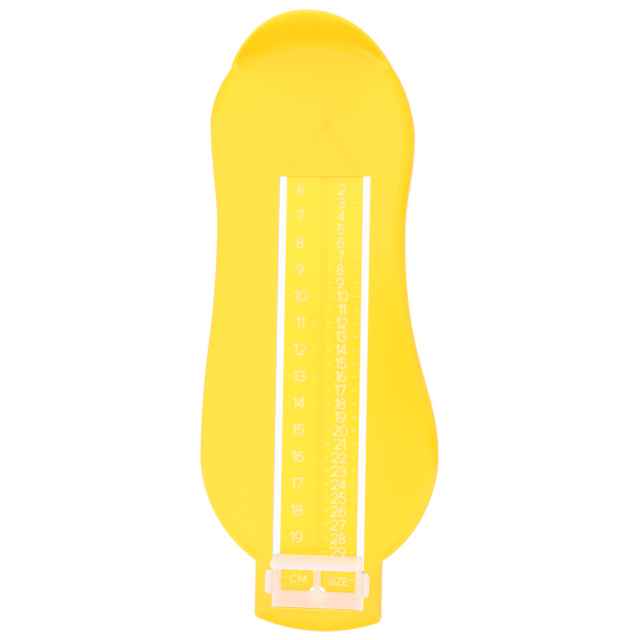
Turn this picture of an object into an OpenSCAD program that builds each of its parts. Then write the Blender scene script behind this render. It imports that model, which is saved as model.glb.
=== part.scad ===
// Foot measuring gauge for children: a foot-shaped moulded board with a heel wall, a printed
// ruler strip between two guide slots, and a clear toe slider that snaps into the slots.
// Millimetres, +Z up. X = 0 is the ruler's axis, Y = 0 is the zero of the scale at the inner
// face of the heel wall, the toes point along -Y, and Z = 0 is the surface the board lies on.

/* [Ruler] */
// First graduation, measured from the heel wall
scale_first = 60; // [40:10:100]
// Last graduation, measured from the heel wall
scale_last = 200; // [160:10:220]
// Distance between two centimetre graduations
cm_pitch = 10; // [5:5:10]
// Distance between two shoe-size graduations
size_pitch = 5; // [2.5:2.5:10]
// Distance of the label line past the last graduation
label_gap = 5; // [4:0.5:6]
// Length of a graduation line
tick_len = 1.6; // [1:0.1:3]
// Width of a graduation line
tick_w = 0.4; // [0.3:0.05:0.8]
// Gap between the outer graduations' middle and the slot
tick_edge_gap = 1.85; // [1.3:0.05:2.5]
// Distance of the inner graduations' middle from the ruler's axis
tick_axis_gap = 2.7; // [1.8:0.1:4]
// How much farther out the label line's graduations stand
label_shift = 0.4; // [0:0.1:0.8]
// Thickness of the printed ink
ink_t = 0.06; // [0.03:0.01:0.1]

/* [Foot outline, outer side] */
// Widest reach of the heel from the ruler's axis
heel_left = 44.6; // [42:0.1:50]
// Distance of the heel's widest place from the heel wall
heel_left_at = 34.5; // [30:0.5:40]
// Narrowest reach of the waist
waist_left = 41.1; // [36:0.1:43]
// Distance of the waist from the heel wall
waist_left_at = 74; // [65:0.5:90]
// Widest reach of the ball of the foot
ball_left = 45.8; // [43:0.1:55]
// Length of the toe curve, from the ball to the tab
toes_left = 39.7; // [34:0.2:48]

/* [Foot outline, arch side] */
// Widest reach of the heel from the ruler's axis
heel_right = 33.4; // [31:0.1:40]
// Distance of the heel's widest place from the heel wall
heel_right_at = 40.7; // [35:0.5:45]
// Narrowest reach of the arch
waist_right = 30.4; // [27:0.1:32]
// Distance of the arch from the heel wall
waist_right_at = 76; // [65:0.5:90]
// Widest reach of the ball of the foot
ball_right = 44; // [41:0.1:55]
// Length of the toe curve, from the ball to the tab
toes_right = 38.7; // [34:0.2:48]

/* [Tab] */
// Width of the tab beside each slot
tab_shoulder = 6.6; // [5:0.05:10]
// Length of the tab's straight outer side, from the toe curve to the corner
tab_side_left = 20.8; // [18:0.1:26]
// Length of the tab's straight side on the arch side
tab_side_right = 22.3; // [18:0.1:26]
// Distance of the tab's corners beyond the slots' ends
tab_margin = 4.2; // [3:0.2:8]
// Bulge of the tab's tip beyond its corners
tab_bulge = 4.5; // [3:0.1:8]
// Radius of the tab's corners
tab_corner_r = 1.3; // [1:0.1:3.5]

/* [Board] */
// Height of the board's top over the table
board_h = 7; // [6:0.1:9]
// Thickness of the board's plate
plate_t = 2; // [1.6:0.1:2.6]
// Thickness of the rim round the underside
rim_t = 2; // [1.6:0.1:2.2]
// Height of the rolled top edge
edge_r = 2.4; // [1.5:0.1:2.6]
// Reach of the rolled top edge into the board
edge_reach = 4.5; // [3:0.1:4.8]
// Bevel between rim and plate on the underside
inner_bevel = 0.5; // [0.2:0.1:0.8]

/* [Heel wall] */
// Height of the heel wall over the board
wall_h = 19.2; // [12:0.2:26]
// Thickness of the heel wall at its top
wall_t = 2; // [1.6:0.1:3]
// Outward lean of the wall for each millimetre of height
wall_lean = 0.035; // [0:0.005:0.08]
// Sweep of the wall to each side of its middle, in degrees
wall_sweep = 53; // [40:1:60]
// Reach of the hollow curve from the wall into the board
cove_reach = 7; // [3:0.5:8]
// Distance of the heel's middle from the ruler's axis, to the outer side
heel_offset = 6; // [0:0.5:8]

/* [Slots] */
// Distance between the two slots' inner edges, the ruler strip's width
strip_w = 28.8; // [26:0.1:30]
// Width of a slot
slot_w = 2.75; // [2.4:0.05:3.4]
// Length of the slots and the strip before the first graduation
strip_lead = 5; // [3:0.5:10]
// Length of the slots and the strip past the last graduation
strip_tail = 16.2; // [14:0.1:20]
// Corner radius of a slot
slot_r = 0.5; // [0.2:0.1:1]
// Depth of the ruler strip under the board's top
strip_drop = 0.8; // [0.4:0.1:1]

/* [Hanging hole] */
// Diameter of the hanging hole
hang_d = 7; // [5:0.1:8]
// Distance of the hanging hole before the slots' tab ends
hang_back = 4.9; // [4.5:0.1:8]

/* [Underside] */
// Width of the rib along the strip
spine_w = 1.8; // [1.2:0.1:3]
// Height of the ribs under the plate
rib_h = 1.2; // [0.6:0.1:1.6]
// Width of the two flow ribs at the gate
flow_w = 1.2; // [0.8:0.1:2]
// Distance of the moulding gate before the strip
gate_back = 20; // [12:0.5:26]
// Diameter of the gate's button
gate_d = 3; // [2:0.1:5]

/* [Toe slider] */
// Height of the toe wall over the ruler strip
toe_h = 18.5; // [10:0.5:24]
// Thickness of the toe wall
toe_t = 2.5; // [1.8:0.1:3]
// Inward lean of the toe wall's outer end, bottom to top
toe_taper_left = 1.4; // [0:0.1:4]
// Inward lean of the toe wall's end on the arch side
toe_taper_right = 0.3; // [0:0.1:4]
// Corner radius of the toe wall's top
toe_r = 2.6; // [1:0.1:4]
// Length of the slider along the ruler
slider_l = 19.2; // [17:0.1:22]
// Thickness of the slider's frame
frame_t = 2; // [1.5:0.1:2.5]
// Width of the frame's outer side bar, from the slot's side inwards
side_bar_left = 3; // [2.4:0.1:4]
// Width of the frame's side bar on the arch side
side_bar_right = 2.4; // [2.2:0.1:4]
// Width of the frame's bar at the tab end
end_bar = 5.8; // [4:0.1:7]
// Width of the bar between the two windows
middle_bar = 2.4; // [1.6:0.1:3]
// Height of the gussets at the toe wall
gusset_h = 2.5; // [1:0.5:12]
// Length of the ears and of the snap legs
ear_l = 8.8; // [6:0.1:11]
// Reach of the ears beyond the slider's frame
ear_reach = 2.8; // [1.5:0.1:3.4]
// Thickness of the ears
ear_t = 1.5; // [1:0.1:2]
// Corner radius of the ears
ear_r = 1.4; // [0.5:0.1:1.4]
// Distance of the ears from the toe wall's front
ear_from = 5.8; // [4:0.1:7]
// Thickness of the snap legs
leg_t = 1.5; // [1:0.1:1.8]
// Reach of the snap hooks under the board
hook_reach = 1.3; // [0.8:0.1:2]
// Height of the snap hooks
hook_h = 1.6; // [1:0.1:2]

/* [Clearances] */
// Play between the slider and a slot's side
side_play = 0.55; // [0.2:0.05:0.6]
// Play between the slider and the board's faces
glide = 0.15; // [0.12:0.01:0.3]
// Play between the stored slider and the slots' tab ends
end_play = 0.7; // [0.3:0.1:1.5]

/* [Hidden] */
$fn = 64;

BOARD_YELLOW = "#FEDC32";
FROSTED = "#F6EEE4";
INK_WHITE = "#FFFDF5";
OVERCUT = 1;

strip_z = board_h - strip_drop;
under_z = board_h - plate_t;
slot_in = strip_w / 2;
slot_out = slot_in + slot_w;
slot_from = scale_first - strip_lead;
slot_to = scale_last + strip_tail;
hang_at = slot_to - hang_back;
gate_at = slot_from - gate_back;

slider_half = slot_out - side_play;
slider_z = strip_z + glide;
ear_z = board_h + glide;
slider_to = slot_to - end_play;
toe_at = slider_to - slider_l;
ear_a = toe_at + ear_from;
ear_b = ear_a + ear_l;
label_line = scale_last + label_gap;

tab_half_w = slot_out + tab_shoulder;
tab_corner_at = slot_to + tab_margin;
tab_tip_at = tab_corner_at + tab_bulge;
root_left_at = tab_corner_at - tab_side_left;
root_right_at = tab_corner_at - tab_side_right;
ball_left_at = root_left_at - toes_left;
ball_right_at = root_right_at - toes_right;
heel_top = [-heel_offset, wall_t];
heel_middle = [-heel_offset, wall_t - (heel_left + heel_right) / 2];

// Stations along each stretch of one side of the outline
HEEL_STEPS = 20;
WAIST_STEPS = 8;
BALL_STEPS = 12;
TOE_STEPS = 16;
CORNER_STEPS = 4;
TIP_STEPS = 6;
// Angle at which the toe curve meets the tab, and how far each curve pulls along its ends'
// directions: heel top, heel side, waist (both ends), ball from the waist, ball to the toes
toe_angle = 35;
pull_left = [0.66, 0.39, 0.22, 0.50, 0.47, 0.21, 0.47];
pull_right = [0.80, 0.26, 0.40, 0.57, 0.30, 0.27, 0.38];

function bezier(a, b, c, d, t) =
    pow(1 - t, 3) * a + 3 * pow(1 - t, 2) * t * b + 3 * (1 - t) * t * t * c + pow(t, 3) * d;

// Points after the first one of a cubic curve, in equal steps
function curve(a, b, c, d, steps) = [for (k = [1 : steps]) bezier(a, b, c, d, k / steps)];

// The tab's tip is an arc; the rounded corners hand over to it at lift_a from its middle
tip_r = (pow(tab_half_w, 2) + pow(tab_bulge, 2)) / (2 * tab_bulge);
lift_a = asin((tab_half_w - tab_corner_r) / tip_r);
function tip_point(side, a) = [side * tip_r * sin(a), tip_r * (1 - cos(a)) - tab_tip_at];

// One side of the outline, from the heel's top down to the tab's tip; side is -1 or 1
function side_points(side, heel, heel_at, waist, waist_at, ball, ball_at, root_at, pull) =
    let (
        hp = [side * heel, -heel_at],
        wp = [side * waist, -waist_at],
        bp = [side * ball, -ball_at],
        root = [side * tab_half_w, -root_at],
        top_pull = [side * abs(hp.x - heel_top.x) * pull[0], 0],
        toe_span = norm(bp - root),
        toe_dir = [-side * cos(toe_angle), -sin(toe_angle)],
        corner = [side * tab_half_w, -tab_corner_at + tab_corner_r],
        hand = tip_point(side, lift_a)
    )
    concat(
        curve(heel_top, heel_top + top_pull, hp + [0, (heel_top.y - hp.y) * pull[1]], hp, HEEL_STEPS),
        curve(hp, hp - [0, (hp.y - wp.y) * pull[2]], wp + [0, (hp.y - wp.y) * pull[2]], wp, WAIST_STEPS),
        curve(wp, wp - [0, (wp.y - bp.y) * pull[3]], bp + [0, (wp.y - bp.y) * pull[4]], bp, BALL_STEPS),
        curve(bp, bp - [0, toe_span * pull[5]], root - toe_dir * toe_span * pull[6], root, TOE_STEPS),
        [corner],
        curve(corner, corner - [0, tab_corner_r * 0.6],
              hand + [side * tab_corner_r * 0.6 * cos(lift_a), tab_corner_r * 0.6 * sin(lift_a)],
              hand, CORNER_STEPS),
        [for (k = [1 : TIP_STEPS]) tip_point(side, lift_a * (1 - k / TIP_STEPS))]
    );

left_side = side_points(-1, heel_left, heel_left_at, waist_left, waist_left_at,
                        ball_left, ball_left_at, root_left_at, pull_left);
right_side = side_points(1, heel_right, heel_right_at, waist_right, waist_right_at,
                         ball_right, ball_right_at, root_right_at, pull_right);
HALF = len(left_side);
COUNT = 2 * HALF;
// The whole outline, anticlockwise from the heel's top
outline = concat([heel_top], left_side, [for (k = [HALF - 2 : -1 : 0]) right_side[k]]);

function unit(v) = v / norm(v);
function inward(i) = let (d = unit(outline[(i + 1) % COUNT] - outline[i % COUNT])) [-d.y, d.x];
// Direction that moves a corner inwards by 1 when both its sides move by 1
function meet(a, b) = (a + b) / (1 + a * b);

// Round the tab's corners the moves inwards run to one point, farther in than any of them goes
CORNER_FROM = HEEL_STEPS + WAIST_STEPS + BALL_STEPS + TOE_STEPS + 1;
POLE_IN = edge_reach + 0.6;
function pole(side) =
    let (
        hand = tip_point(side, lift_a),
        way = [side * cos(lift_a), sin(lift_a)],
        sharp = hand + way * (tab_half_w - abs(hand.x)) / way.x * side
    )
    sharp + POLE_IN * meet([-side, 0], [-side * way.y, side * way.x]);
function mitre(i) =
    let (k = min(i, COUNT - i))
    k < CORNER_FROM || k > CORNER_FROM + CORNER_STEPS ? meet(inward(i + COUNT - 1), inward(i))
        : (pole(sign(outline[i].x)) - outline[i]) / POLE_IN;

// Height of the heel wall at an outline point: full in the middle, none past the sweep
function rise(p) =
    let (a = atan2(p.x - heel_middle.x, p.y - heel_middle.y) / wall_sweep)
    wall_h * pow(max(0, 1 - a * a), 1.1);

// The board's section at a place where the wall stands h high, as [inset, z] points, from the
// underside round the rim and over the top to where the flat top begins
ROLL_STEPS = 6;
COVE_STEPS = 9;
FLAT_FROM = 4 + ROLL_STEPS;
SECTION = 5 + ROLL_STEPS + COVE_STEPS;
function section(h) =
    let (
        roll = max(wall_t / 2, edge_r - h),
        reach = wall_t / 2 + (edge_reach - wall_t / 2) * max(0, 1 - h / edge_r),
        lean = wall_lean * h,
        full = h / wall_h,
        grown = min(1, h / (2 * edge_r)),
        top = board_h + h,
        crest = [reach - lean, top],
        foot = [edge_reach + cove_reach * pow(full, 0.7), board_h],
        crest_pull = crest + [wall_t * 0.6 * grown, 0],
        foot_pull = [edge_reach + (wall_t - 0.1 - edge_reach) * grown, board_h]
    )
    concat(
        [[rim_t + inner_bevel, under_z], [rim_t, under_z - inner_bevel], [rim_t, 0], [0, 0]],
        [for (k = [0 : ROLL_STEPS])
            let (a = 90 * k / ROLL_STEPS) [reach * (1 - cos(a)) - lean, top - roll + roll * sin(a)]],
        curve(crest, crest_pull, foot_pull, foot, COVE_STEPS)
    );

heights = [for (p = outline) rise(p)];
// Point j of the section at station i; where no wall stands, the curve's points are one
function at(i, j) = let (s = i % COUNT) s * SECTION + (heights[s] > 0.05 ? j : min(j, FLAT_FROM));
function true_faces(faces) = [for (f = faces) if (f[0] != f[1] && f[1] != f[2] && f[2] != f[0]) f];

// The shell of the board: its section swept round the outline, closed by the two flat faces
module shell() {
    points = [for (i = [0 : COUNT - 1]) for (q = section(heights[i]))
        let (p = outline[i] + q.x * mitre(i)) [p.x, p.y, q.y]];
    sides = [for (i = [0 : COUNT - 1]) for (j = [0 : SECTION - 2])
        each [[at(i, j), at(i, j + 1), at(i + 1, j + 1)], [at(i, j), at(i + 1, j + 1), at(i + 1, j)]]];
    last = SECTION - 1;
    lids = [for (i = [0 : HALF - 1])
        let (k = COUNT - i)
        each [[at(i, last), at(k, last), at(k - 1, last)], [at(i, last), at(k - 1, last), at(i + 1, last)],
              [at(i, 0), at(k - 1, 0), at(k, 0)], [at(i, 0), at(i + 1, 0), at(k - 1, 0)]]];
    polyhedron(points, true_faces(concat(sides, lids)));
}

// A rectangle with round corners, from corner a to corner b
module round_rect(a, b, r) {
    translate(a + [r, 0]) square(b - a - [2 * r, 0]);
    translate(a + [0, r]) square(b - a - [0, 2 * r]);
    for (x = [a.x + r, b.x - r], y = [a.y + r, b.y - r]) translate([x, y]) circle(r);
}

module slots() {
    for (side = [-1, 1])
        translate([side * (slot_in + slot_w / 2), 0, -OVERCUT])
            linear_extrude(board_h + 2 * OVERCUT)
                round_rect([-slot_w / 2, -slot_to], [slot_w / 2, -slot_from], slot_r);
}

// The ruler strip lies a little lower than the board, from slot end to slot end
module strip_recess() {
    translate([-slot_in - slot_w / 2, -slot_to, strip_z])
        cube([strip_w + slot_w, slot_to - slot_from, strip_drop + OVERCUT]);
}

module underside_ribs() {
    // sunk into the plate by less than the strip's own thickness
    root = (plate_t - strip_drop) / 2;
    depth = rib_h + root;
    translate([-spine_w / 2, -(hang_at - hang_d), under_z - rib_h])
        cube([spine_w, hang_at - hang_d - slot_from, depth]);
    translate([0, -gate_at, under_z - rib_h]) cylinder(d = gate_d, h = depth);
    reach = slot_in - flow_w;
    span = slot_from - gate_at;
    for (side = [-1, 1])
        translate([0, -gate_at, under_z - rib_h])
            linear_extrude(depth)
                polygon([[0, 0], [side * flow_w, 0], [side * reach, -span], [side * (reach - flow_w), -span]]);
    translate([-reach, -slot_from - flow_w / 2, under_z - rib_h]) cube([2 * reach, flow_w, depth]);
}

module foot_board() {
    color(BOARD_YELLOW) difference() {
        union() {
            shell();
            underside_ribs();
        }
        slots();
        strip_recess();
        translate([0, -hang_at, -OVERCUT]) cylinder(d = hang_d, h = board_h + 2 * OVERCUT);
    }
}

// The flat frame with its two windows
module slider_frame() {
    window_to = slider_to - end_bar;
    difference() {
        translate([0, 0, slider_z]) linear_extrude(frame_t)
            round_rect([-slider_half, -slider_to], [slider_half, -toe_at], 0.8);
        for (side = [-1, 1])
            translate([0, 0, slider_z - OVERCUT]) linear_extrude(frame_t + 2 * OVERCUT)
                round_rect(
                    [side > 0 ? middle_bar / 2 : side_bar_left - slider_half, -window_to],
                    [side > 0 ? slider_half - side_bar_right : -middle_bar / 2, -(toe_at + toe_t + 1)], 0.5);
    }
}

// The toe wall's end as seen from the toes: its foot, where its corner starts and ends
function wall_end(side, taper) =
    let (
        top = strip_z + toe_h,
        tip = slider_half - taper,
        slope = atan(taper / (top - slider_z)),
        shoulder = tip - toe_r + toe_r * cos(slope)
    )
    [[side * slider_half, slider_z], [side * shoulder, top - toe_r + toe_r * sin(slope)],
     [side * (tip - toe_r), top]];

// The upright wall that the toes touch, narrower at its top
module toe_wall() {
    left = wall_end(-1, toe_taper_left);
    right = wall_end(1, toe_taper_right);
    translate([0, -toe_at, 0]) rotate([90, 0, 0]) linear_extrude(toe_t) {
        polygon([left[0], right[0], right[1], right[2], left[2], left[1]]);
        for (p = [left[2], right[2]]) translate(p - [0, toe_r]) circle(toe_r);
    }
}

// A web behind the toe wall, from x to x + w, falling to the frame at the given distance
module gusset(x, w, foot_at) {
    top = slider_z + frame_t;
    sunk = frame_t / 2;
    translate([x, 0, 0]) rotate([90, 0, 90]) linear_extrude(w)
        polygon([[-toe_at - toe_t / 2, top - sunk], [-toe_at - toe_t / 2, top + gusset_h],
                 [-toe_at - toe_t, top + gusset_h], [-foot_at, top], [-foot_at, top - sunk]]);
}

// An ear that rides on the board beside the slot; side is -1 or 1
module ear(side) {
    a = slider_half - leg_t;
    b = slider_half + ear_reach;
    translate([0, 0, ear_z]) linear_extrude(ear_t)
        round_rect([side > 0 ? a : -b, -ear_b], [side > 0 ? b : -a, -ear_a], ear_r);
}

// A springy leg through the slot, with a hook that catches under the board
module snap_leg(side) {
    outer = slider_half;
    inner = outer - leg_t;
    catch_z = under_z - glide;
    translate([0, -ear_a, 0]) rotate([90, 0, 0]) linear_extrude(ear_l)
        polygon([for (p = [[inner, slider_z + frame_t / 2], [outer, slider_z + frame_t / 2],
                           [outer, catch_z], [outer + hook_reach, catch_z],
                           [outer + hook_reach, catch_z - hook_h / 3],
                           [outer, catch_z - hook_h], [inner, catch_z - hook_h]])
                 [side * p.x, p.y]]);
}

module toe_slider() {
    color(FROSTED, 0.6) union() {
        slider_frame();
        toe_wall();
        gusset(-middle_bar / 2, middle_bar, slider_to - end_bar);
        for (side = [-1, 1]) {
            gusset(side > 0 ? slider_half - leg_t : -slider_half, leg_t, ear_b);
            ear(side);
            snap_leg(side);
        }
    }
}

// One graduation line with its middle at x, at distance y from the heel wall
module tick(x, y) {
    translate([x - tick_len / 2, -y - tick_w / 2, strip_z]) cube([tick_len, tick_w, ink_t]);
}

// Both columns of one scale, from its first to its last graduation; side is -1 or 1
module graduations(side, pitch) {
    outer = slot_in - tick_edge_gap;
    for (y = [scale_first : pitch : scale_last]) {
        tick(side * outer, y);
        tick(side * tick_axis_gap, y);
    }
    tick(side * (outer + label_shift), label_line);
}

module cm_graduations() {
    color(INK_WHITE) graduations(-1, cm_pitch);
}

module size_graduations() {
    color(INK_WHITE) graduations(1, size_pitch);
}

foot_board();
toe_slider();
cm_graduations();
size_graduations();
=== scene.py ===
"""Looks of a children's foot gauge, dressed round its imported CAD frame.

The gauge is two snap-together mouldings and a print: a yellow polypropylene board with a heel
wall that grows out of its rolled edge, a frosted slider that runs in two slots, and white
graduations with their numbers. The classes below make each of these in turn.

Lengths in the classes are millimetres and become metres in `put_mesh`. X is zero on the
ruler's axis and grows towards the arch, Y is zero at the scale's origin and falls towards the
toes, and Z is zero on the table.
"""
import logging
import math
from dataclasses import dataclass, field
from enum import Enum
from functools import reduce

import bpy
import numpy as np
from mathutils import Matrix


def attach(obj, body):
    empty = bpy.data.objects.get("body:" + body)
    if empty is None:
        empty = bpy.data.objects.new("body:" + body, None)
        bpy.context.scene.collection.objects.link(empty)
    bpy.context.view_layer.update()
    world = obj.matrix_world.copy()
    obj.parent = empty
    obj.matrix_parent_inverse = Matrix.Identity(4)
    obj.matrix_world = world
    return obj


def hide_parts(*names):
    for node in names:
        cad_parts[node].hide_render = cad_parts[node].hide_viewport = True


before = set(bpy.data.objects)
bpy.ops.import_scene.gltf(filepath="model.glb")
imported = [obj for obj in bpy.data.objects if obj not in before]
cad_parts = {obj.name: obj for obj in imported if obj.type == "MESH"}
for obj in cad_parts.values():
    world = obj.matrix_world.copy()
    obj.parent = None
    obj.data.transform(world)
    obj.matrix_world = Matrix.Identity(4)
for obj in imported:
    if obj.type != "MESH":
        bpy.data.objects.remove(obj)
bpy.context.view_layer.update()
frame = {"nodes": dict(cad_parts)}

LOG = logging.getLogger("foot_gauge")
MM = 0.001
BOARD_BODY = "board"
SLIDER_BODY = "slider"

Array = np.ndarray
Pair = tuple[float, float]
Triple = tuple[float, float, float]
Color = tuple[float, float, float, float]
Socket = bpy.types.NodeSocket
Piece = bpy.types.Object


class Axis(Enum):
    """The axis that a profile is drawn out along."""

    X = 0
    Y = 1
    Z = 2


class Cut(Enum):
    """What a second solid does to the first."""

    AWAY = "DIFFERENCE"
    JOINED = "UNION"


# ---------------------------------------------------------------------------------------------
# Shapes
# ---------------------------------------------------------------------------------------------


def put_mesh(name: str, vertices: Array, polygons: list[Array]) -> Piece:
    """Makes an object at the origin from whole arrays.

    Args:
        name: Name of the object and its mesh.
        vertices: n x 3 places in millimetres.
        polygons: Arrays of vertex numbers, one polygon a row; all rows of one array have the
            same number of corners.

    Returns:
        The object, linked to the scene.
    """
    corners = np.concatenate([rows.ravel() for rows in polygons])
    totals = np.concatenate([np.full(len(rows), rows.shape[1]) for rows in polygons])
    starts = np.cumsum(totals) - totals
    mesh = bpy.data.meshes.new(name)
    mesh.vertices.add(len(vertices))
    mesh.vertices.foreach_set("co", (vertices * MM).astype(np.float32).ravel())
    mesh.loops.add(len(corners))
    mesh.loops.foreach_set("vertex_index", corners.astype(np.int32))
    mesh.polygons.add(len(totals))
    mesh.polygons.foreach_set("loop_start", starts.astype(np.int32))
    mesh.update(calc_edges=True)
    mesh.validate()
    piece = bpy.data.objects.new(name, mesh)
    bpy.context.collection.objects.link(piece)
    return piece


def ring_faces(rings: int, size: int, closed: bool = False) -> Array:
    """Quads between neighbouring rings of points.

    Args:
        rings: Number of rings, stored one after another.
        size: Points in a ring; the last joins the first.
        closed: Whether the last ring also joins the first.

    Returns:
        One row of four vertex numbers for each quad.
    """
    ring = np.arange(rings if closed else rings - 1)[:, None]
    point = np.arange(size)[None, :]
    after_ring = (ring + 1) % rings
    after_point = (point + 1) % size
    quads = np.stack(
        [
            ring * size + point,
            ring * size + after_point,
            after_ring * size + after_point,
            after_ring * size + point,
        ],
        axis=-1,
    )
    return quads.reshape(-1, 4)


def meet(before: Array, after: Array) -> Array:
    """Moves a corner by 1 off both its sides: (a + b) / (1 + a.b), with a and b their normals."""
    return (before + after) / (1 + np.sum(before * after, axis=-1, keepdims=True))


def side_normals(profile: Array) -> Array:
    """Unit normals, pointing inwards, of the sides that start at each corner of a profile."""
    ahead = np.roll(profile, -1, axis=0) - profile
    ahead /= np.linalg.norm(ahead, axis=1, keepdims=True)
    return np.stack([-ahead[:, 1], ahead[:, 0]], axis=1)


def stack(name: str, profile: Array, levels: Array, axis: Axis = Axis.Z) -> Piece:
    """Makes a solid of one profile, drawn in by a different amount at each level of an axis.

    Args:
        name: Name of the object.
        profile: n x 2 points, anticlockwise where the two axes follow the drawn-out one in the
            order X, Y, Z, X.
        levels: m x 2 numbers, the inset and the place on the axis of each level, upwards.
        axis: The axis that it is drawn out along.

    Returns:
        The solid, with flat ends.
    """
    normal = side_normals(profile)
    inwards = meet(np.roll(normal, 1, axis=0), normal)
    flat = profile[None] + levels[:, :1, None] * inwards[None]
    rings, size = flat.shape[:2]
    points = np.empty((rings, size, 3))
    points[:, :, axis.value] = levels[:, 1:]
    points[:, :, (axis.value + 1) % 3] = flat[:, :, 0]
    points[:, :, (axis.value + 2) % 3] = flat[:, :, 1]
    ends = [np.arange(size)[None, ::-1], ((rings - 1) * size + np.arange(size))[None, :]]
    return put_mesh(name, points.reshape(-1, 3), [ring_faces(rings, size), *ends])


def plain(low: float, high: float) -> Array:
    """Levels of a solid with sharp ends."""
    return np.array([[0.0, low], [0.0, high]])


def blunt(low: float, high: float, radius: float, steps: int = 4) -> Array:
    """Levels of a solid whose end edges are rounded: inset r(1 - sin a) at r(1 - cos a).

    Args:
        low: Lowest level.
        high: Highest level.
        radius: Radius of both end edges.
        steps: Stretches in each rounding.

    Returns:
        One row of inset and level for each level.
    """
    angle = np.linspace(0, math.pi / 2, steps + 1)
    edge = np.stack([radius * (1 - np.sin(angle)), radius * (1 - np.cos(angle))], axis=1)
    return np.concatenate([edge + [0, low], (edge * [1, -1] + [0, high])[::-1]])


def flared(low: float, high: float, radius: float, past: float, steps: int = 4) -> Array:
    """Levels of a cutter that leaves the edges it makes at low and high rounded.

    It widens by r(1 - cos a) at r(1 - sin a) from each surface, and goes on past both.

    Args:
        low: Level of the lower surface.
        high: Level of the upper surface.
        radius: Radius of the edges it leaves.
        past: How far it goes on past each surface.
        steps: Stretches in each rounding.

    Returns:
        One row of inset and level for each level.
    """
    angle = np.linspace(0, math.pi / 2, steps + 1)
    edge = np.stack([-radius * (1 - np.cos(angle)), radius * (1 - np.sin(angle))], axis=1)
    top = np.concatenate([edge * [1, -1] + [0, high], [[-radius, high + past]]])
    bottom = np.concatenate([edge + [0, low], [[-radius, low - past]]])[::-1]
    return np.concatenate([bottom, top])


def rounded(profile: Array, radius: float, steps: int = 4) -> Array:
    """Rounds every corner of a profile.

    Each corner becomes an arc about the point that lies one radius off both its sides; the
    arc's normal turns evenly from the side before to the side after.

    Args:
        profile: n x 2 corners, anticlockwise.
        radius: Radius of the rounding.
        steps: Stretches in each arc.

    Returns:
        The rounded outline.
    """
    after = side_normals(profile)
    before = np.roll(after, 1, axis=0)
    turn = np.arctan2(before[:, 0] * after[:, 1] - before[:, 1] * after[:, 0], np.sum(before * after, axis=1))
    start = np.arctan2(before[:, 1], before[:, 0])
    angle = start[:, None] + turn[:, None] * np.linspace(0, 1, steps + 1)
    reach = (radius * np.sign(turn))[:, None]
    middle = profile + reach * meet(before, after)
    arcs = middle[:, None] - reach[:, None] * np.stack([np.cos(angle), np.sin(angle)], axis=-1)
    return arcs.reshape(-1, 2)


def arc(centre: Pair, radii: Pair, turn: Pair,
        steps: int) -> Array:
    """Points of an elliptical arc: centre + (rx cos a, ry sin a), a in equal steps.

    Args:
        centre: Middle of the ellipse.
        radii: Its two half axes.
        turn: First and last angle in degrees.
        steps: Number of stretches.

    Returns:
        (steps + 1) x 2 points.
    """
    angle = np.radians(np.linspace(*turn, steps + 1))
    return np.stack([centre[0] + radii[0] * np.cos(angle), centre[1] + radii[1] * np.sin(angle)], axis=1)


def circle(centre: Pair, radius: float, steps: int = 48) -> Array:
    """A full circle without its repeated last point."""
    return arc(centre, (radius, radius), (0, 360), steps)[:-1]


def rounded_box(low: Pair, high: Pair, radius: float, steps: int = 8) -> Array:
    """A rectangle whose four corners are quarter circles.

    Args:
        low: One corner.
        high: The corner across from it.
        radius: Radius of the corners.
        steps: Stretches in each quarter.

    Returns:
        The outline, anticlockwise.
    """
    (left, right), (bottom, top) = (sorted(ends) for ends in zip(low, high))
    right, left, top, bottom = right - radius, left + radius, top - radius, bottom + radius
    middles = ((right, top), (left, top), (left, bottom), (right, bottom))
    quarters = [arc(middle, (radius, radius), (90 * k, 90 * k + 90), steps) for k, middle in enumerate(middles)]
    return np.concatenate(quarters)


def bezier(controls: Array, steps: int) -> Array:
    """Points after the first one of a cubic curve, by its Bernstein weights.

    Args:
        controls: ... x 4 x 2 control points; leading axes are separate curves.
        steps: Number of stretches, in equal steps of the parameter.

    Returns:
        ... x steps x 2 points.
    """
    t = np.arange(1, steps + 1)[:, None] / steps
    weights = np.hstack([(1 - t) ** 3, 3 * (1 - t) ** 2 * t, 3 * (1 - t) * t**2, t**3])
    return weights @ controls


def settle(piece: Piece) -> None:
    """Puts what a piece's modifiers make of its mesh into the mesh itself."""
    graph = bpy.context.evaluated_depsgraph_get()
    before = piece.data
    after = bpy.data.meshes.new_from_object(piece.evaluated_get(graph))
    piece.modifiers.clear()
    piece.data = after
    bpy.data.meshes.remove(before)
    after.name = piece.name


def combine(piece: Piece, others: list[Piece], how: Cut) -> None:
    """Joins other solids to a piece or cuts them away, and removes them.

    Args:
        piece: The solid that stays.
        others: The solids that are used up.
        how: Whether they are joined or cut away.
    """
    for other in others:
        step = piece.modifiers.new(other.name, "BOOLEAN")
        step.operation = how.value
        step.solver = "EXACT"
        step.object = other
        settle(piece)
        bpy.data.objects.remove(other)


def weld(piece: Piece, gap: float) -> None:
    """Merges vertices that lie closer together than a gap in millimetres."""
    step = piece.modifiers.new("weld", "WELD")
    step.merge_threshold = gap * MM
    settle(piece)


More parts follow.
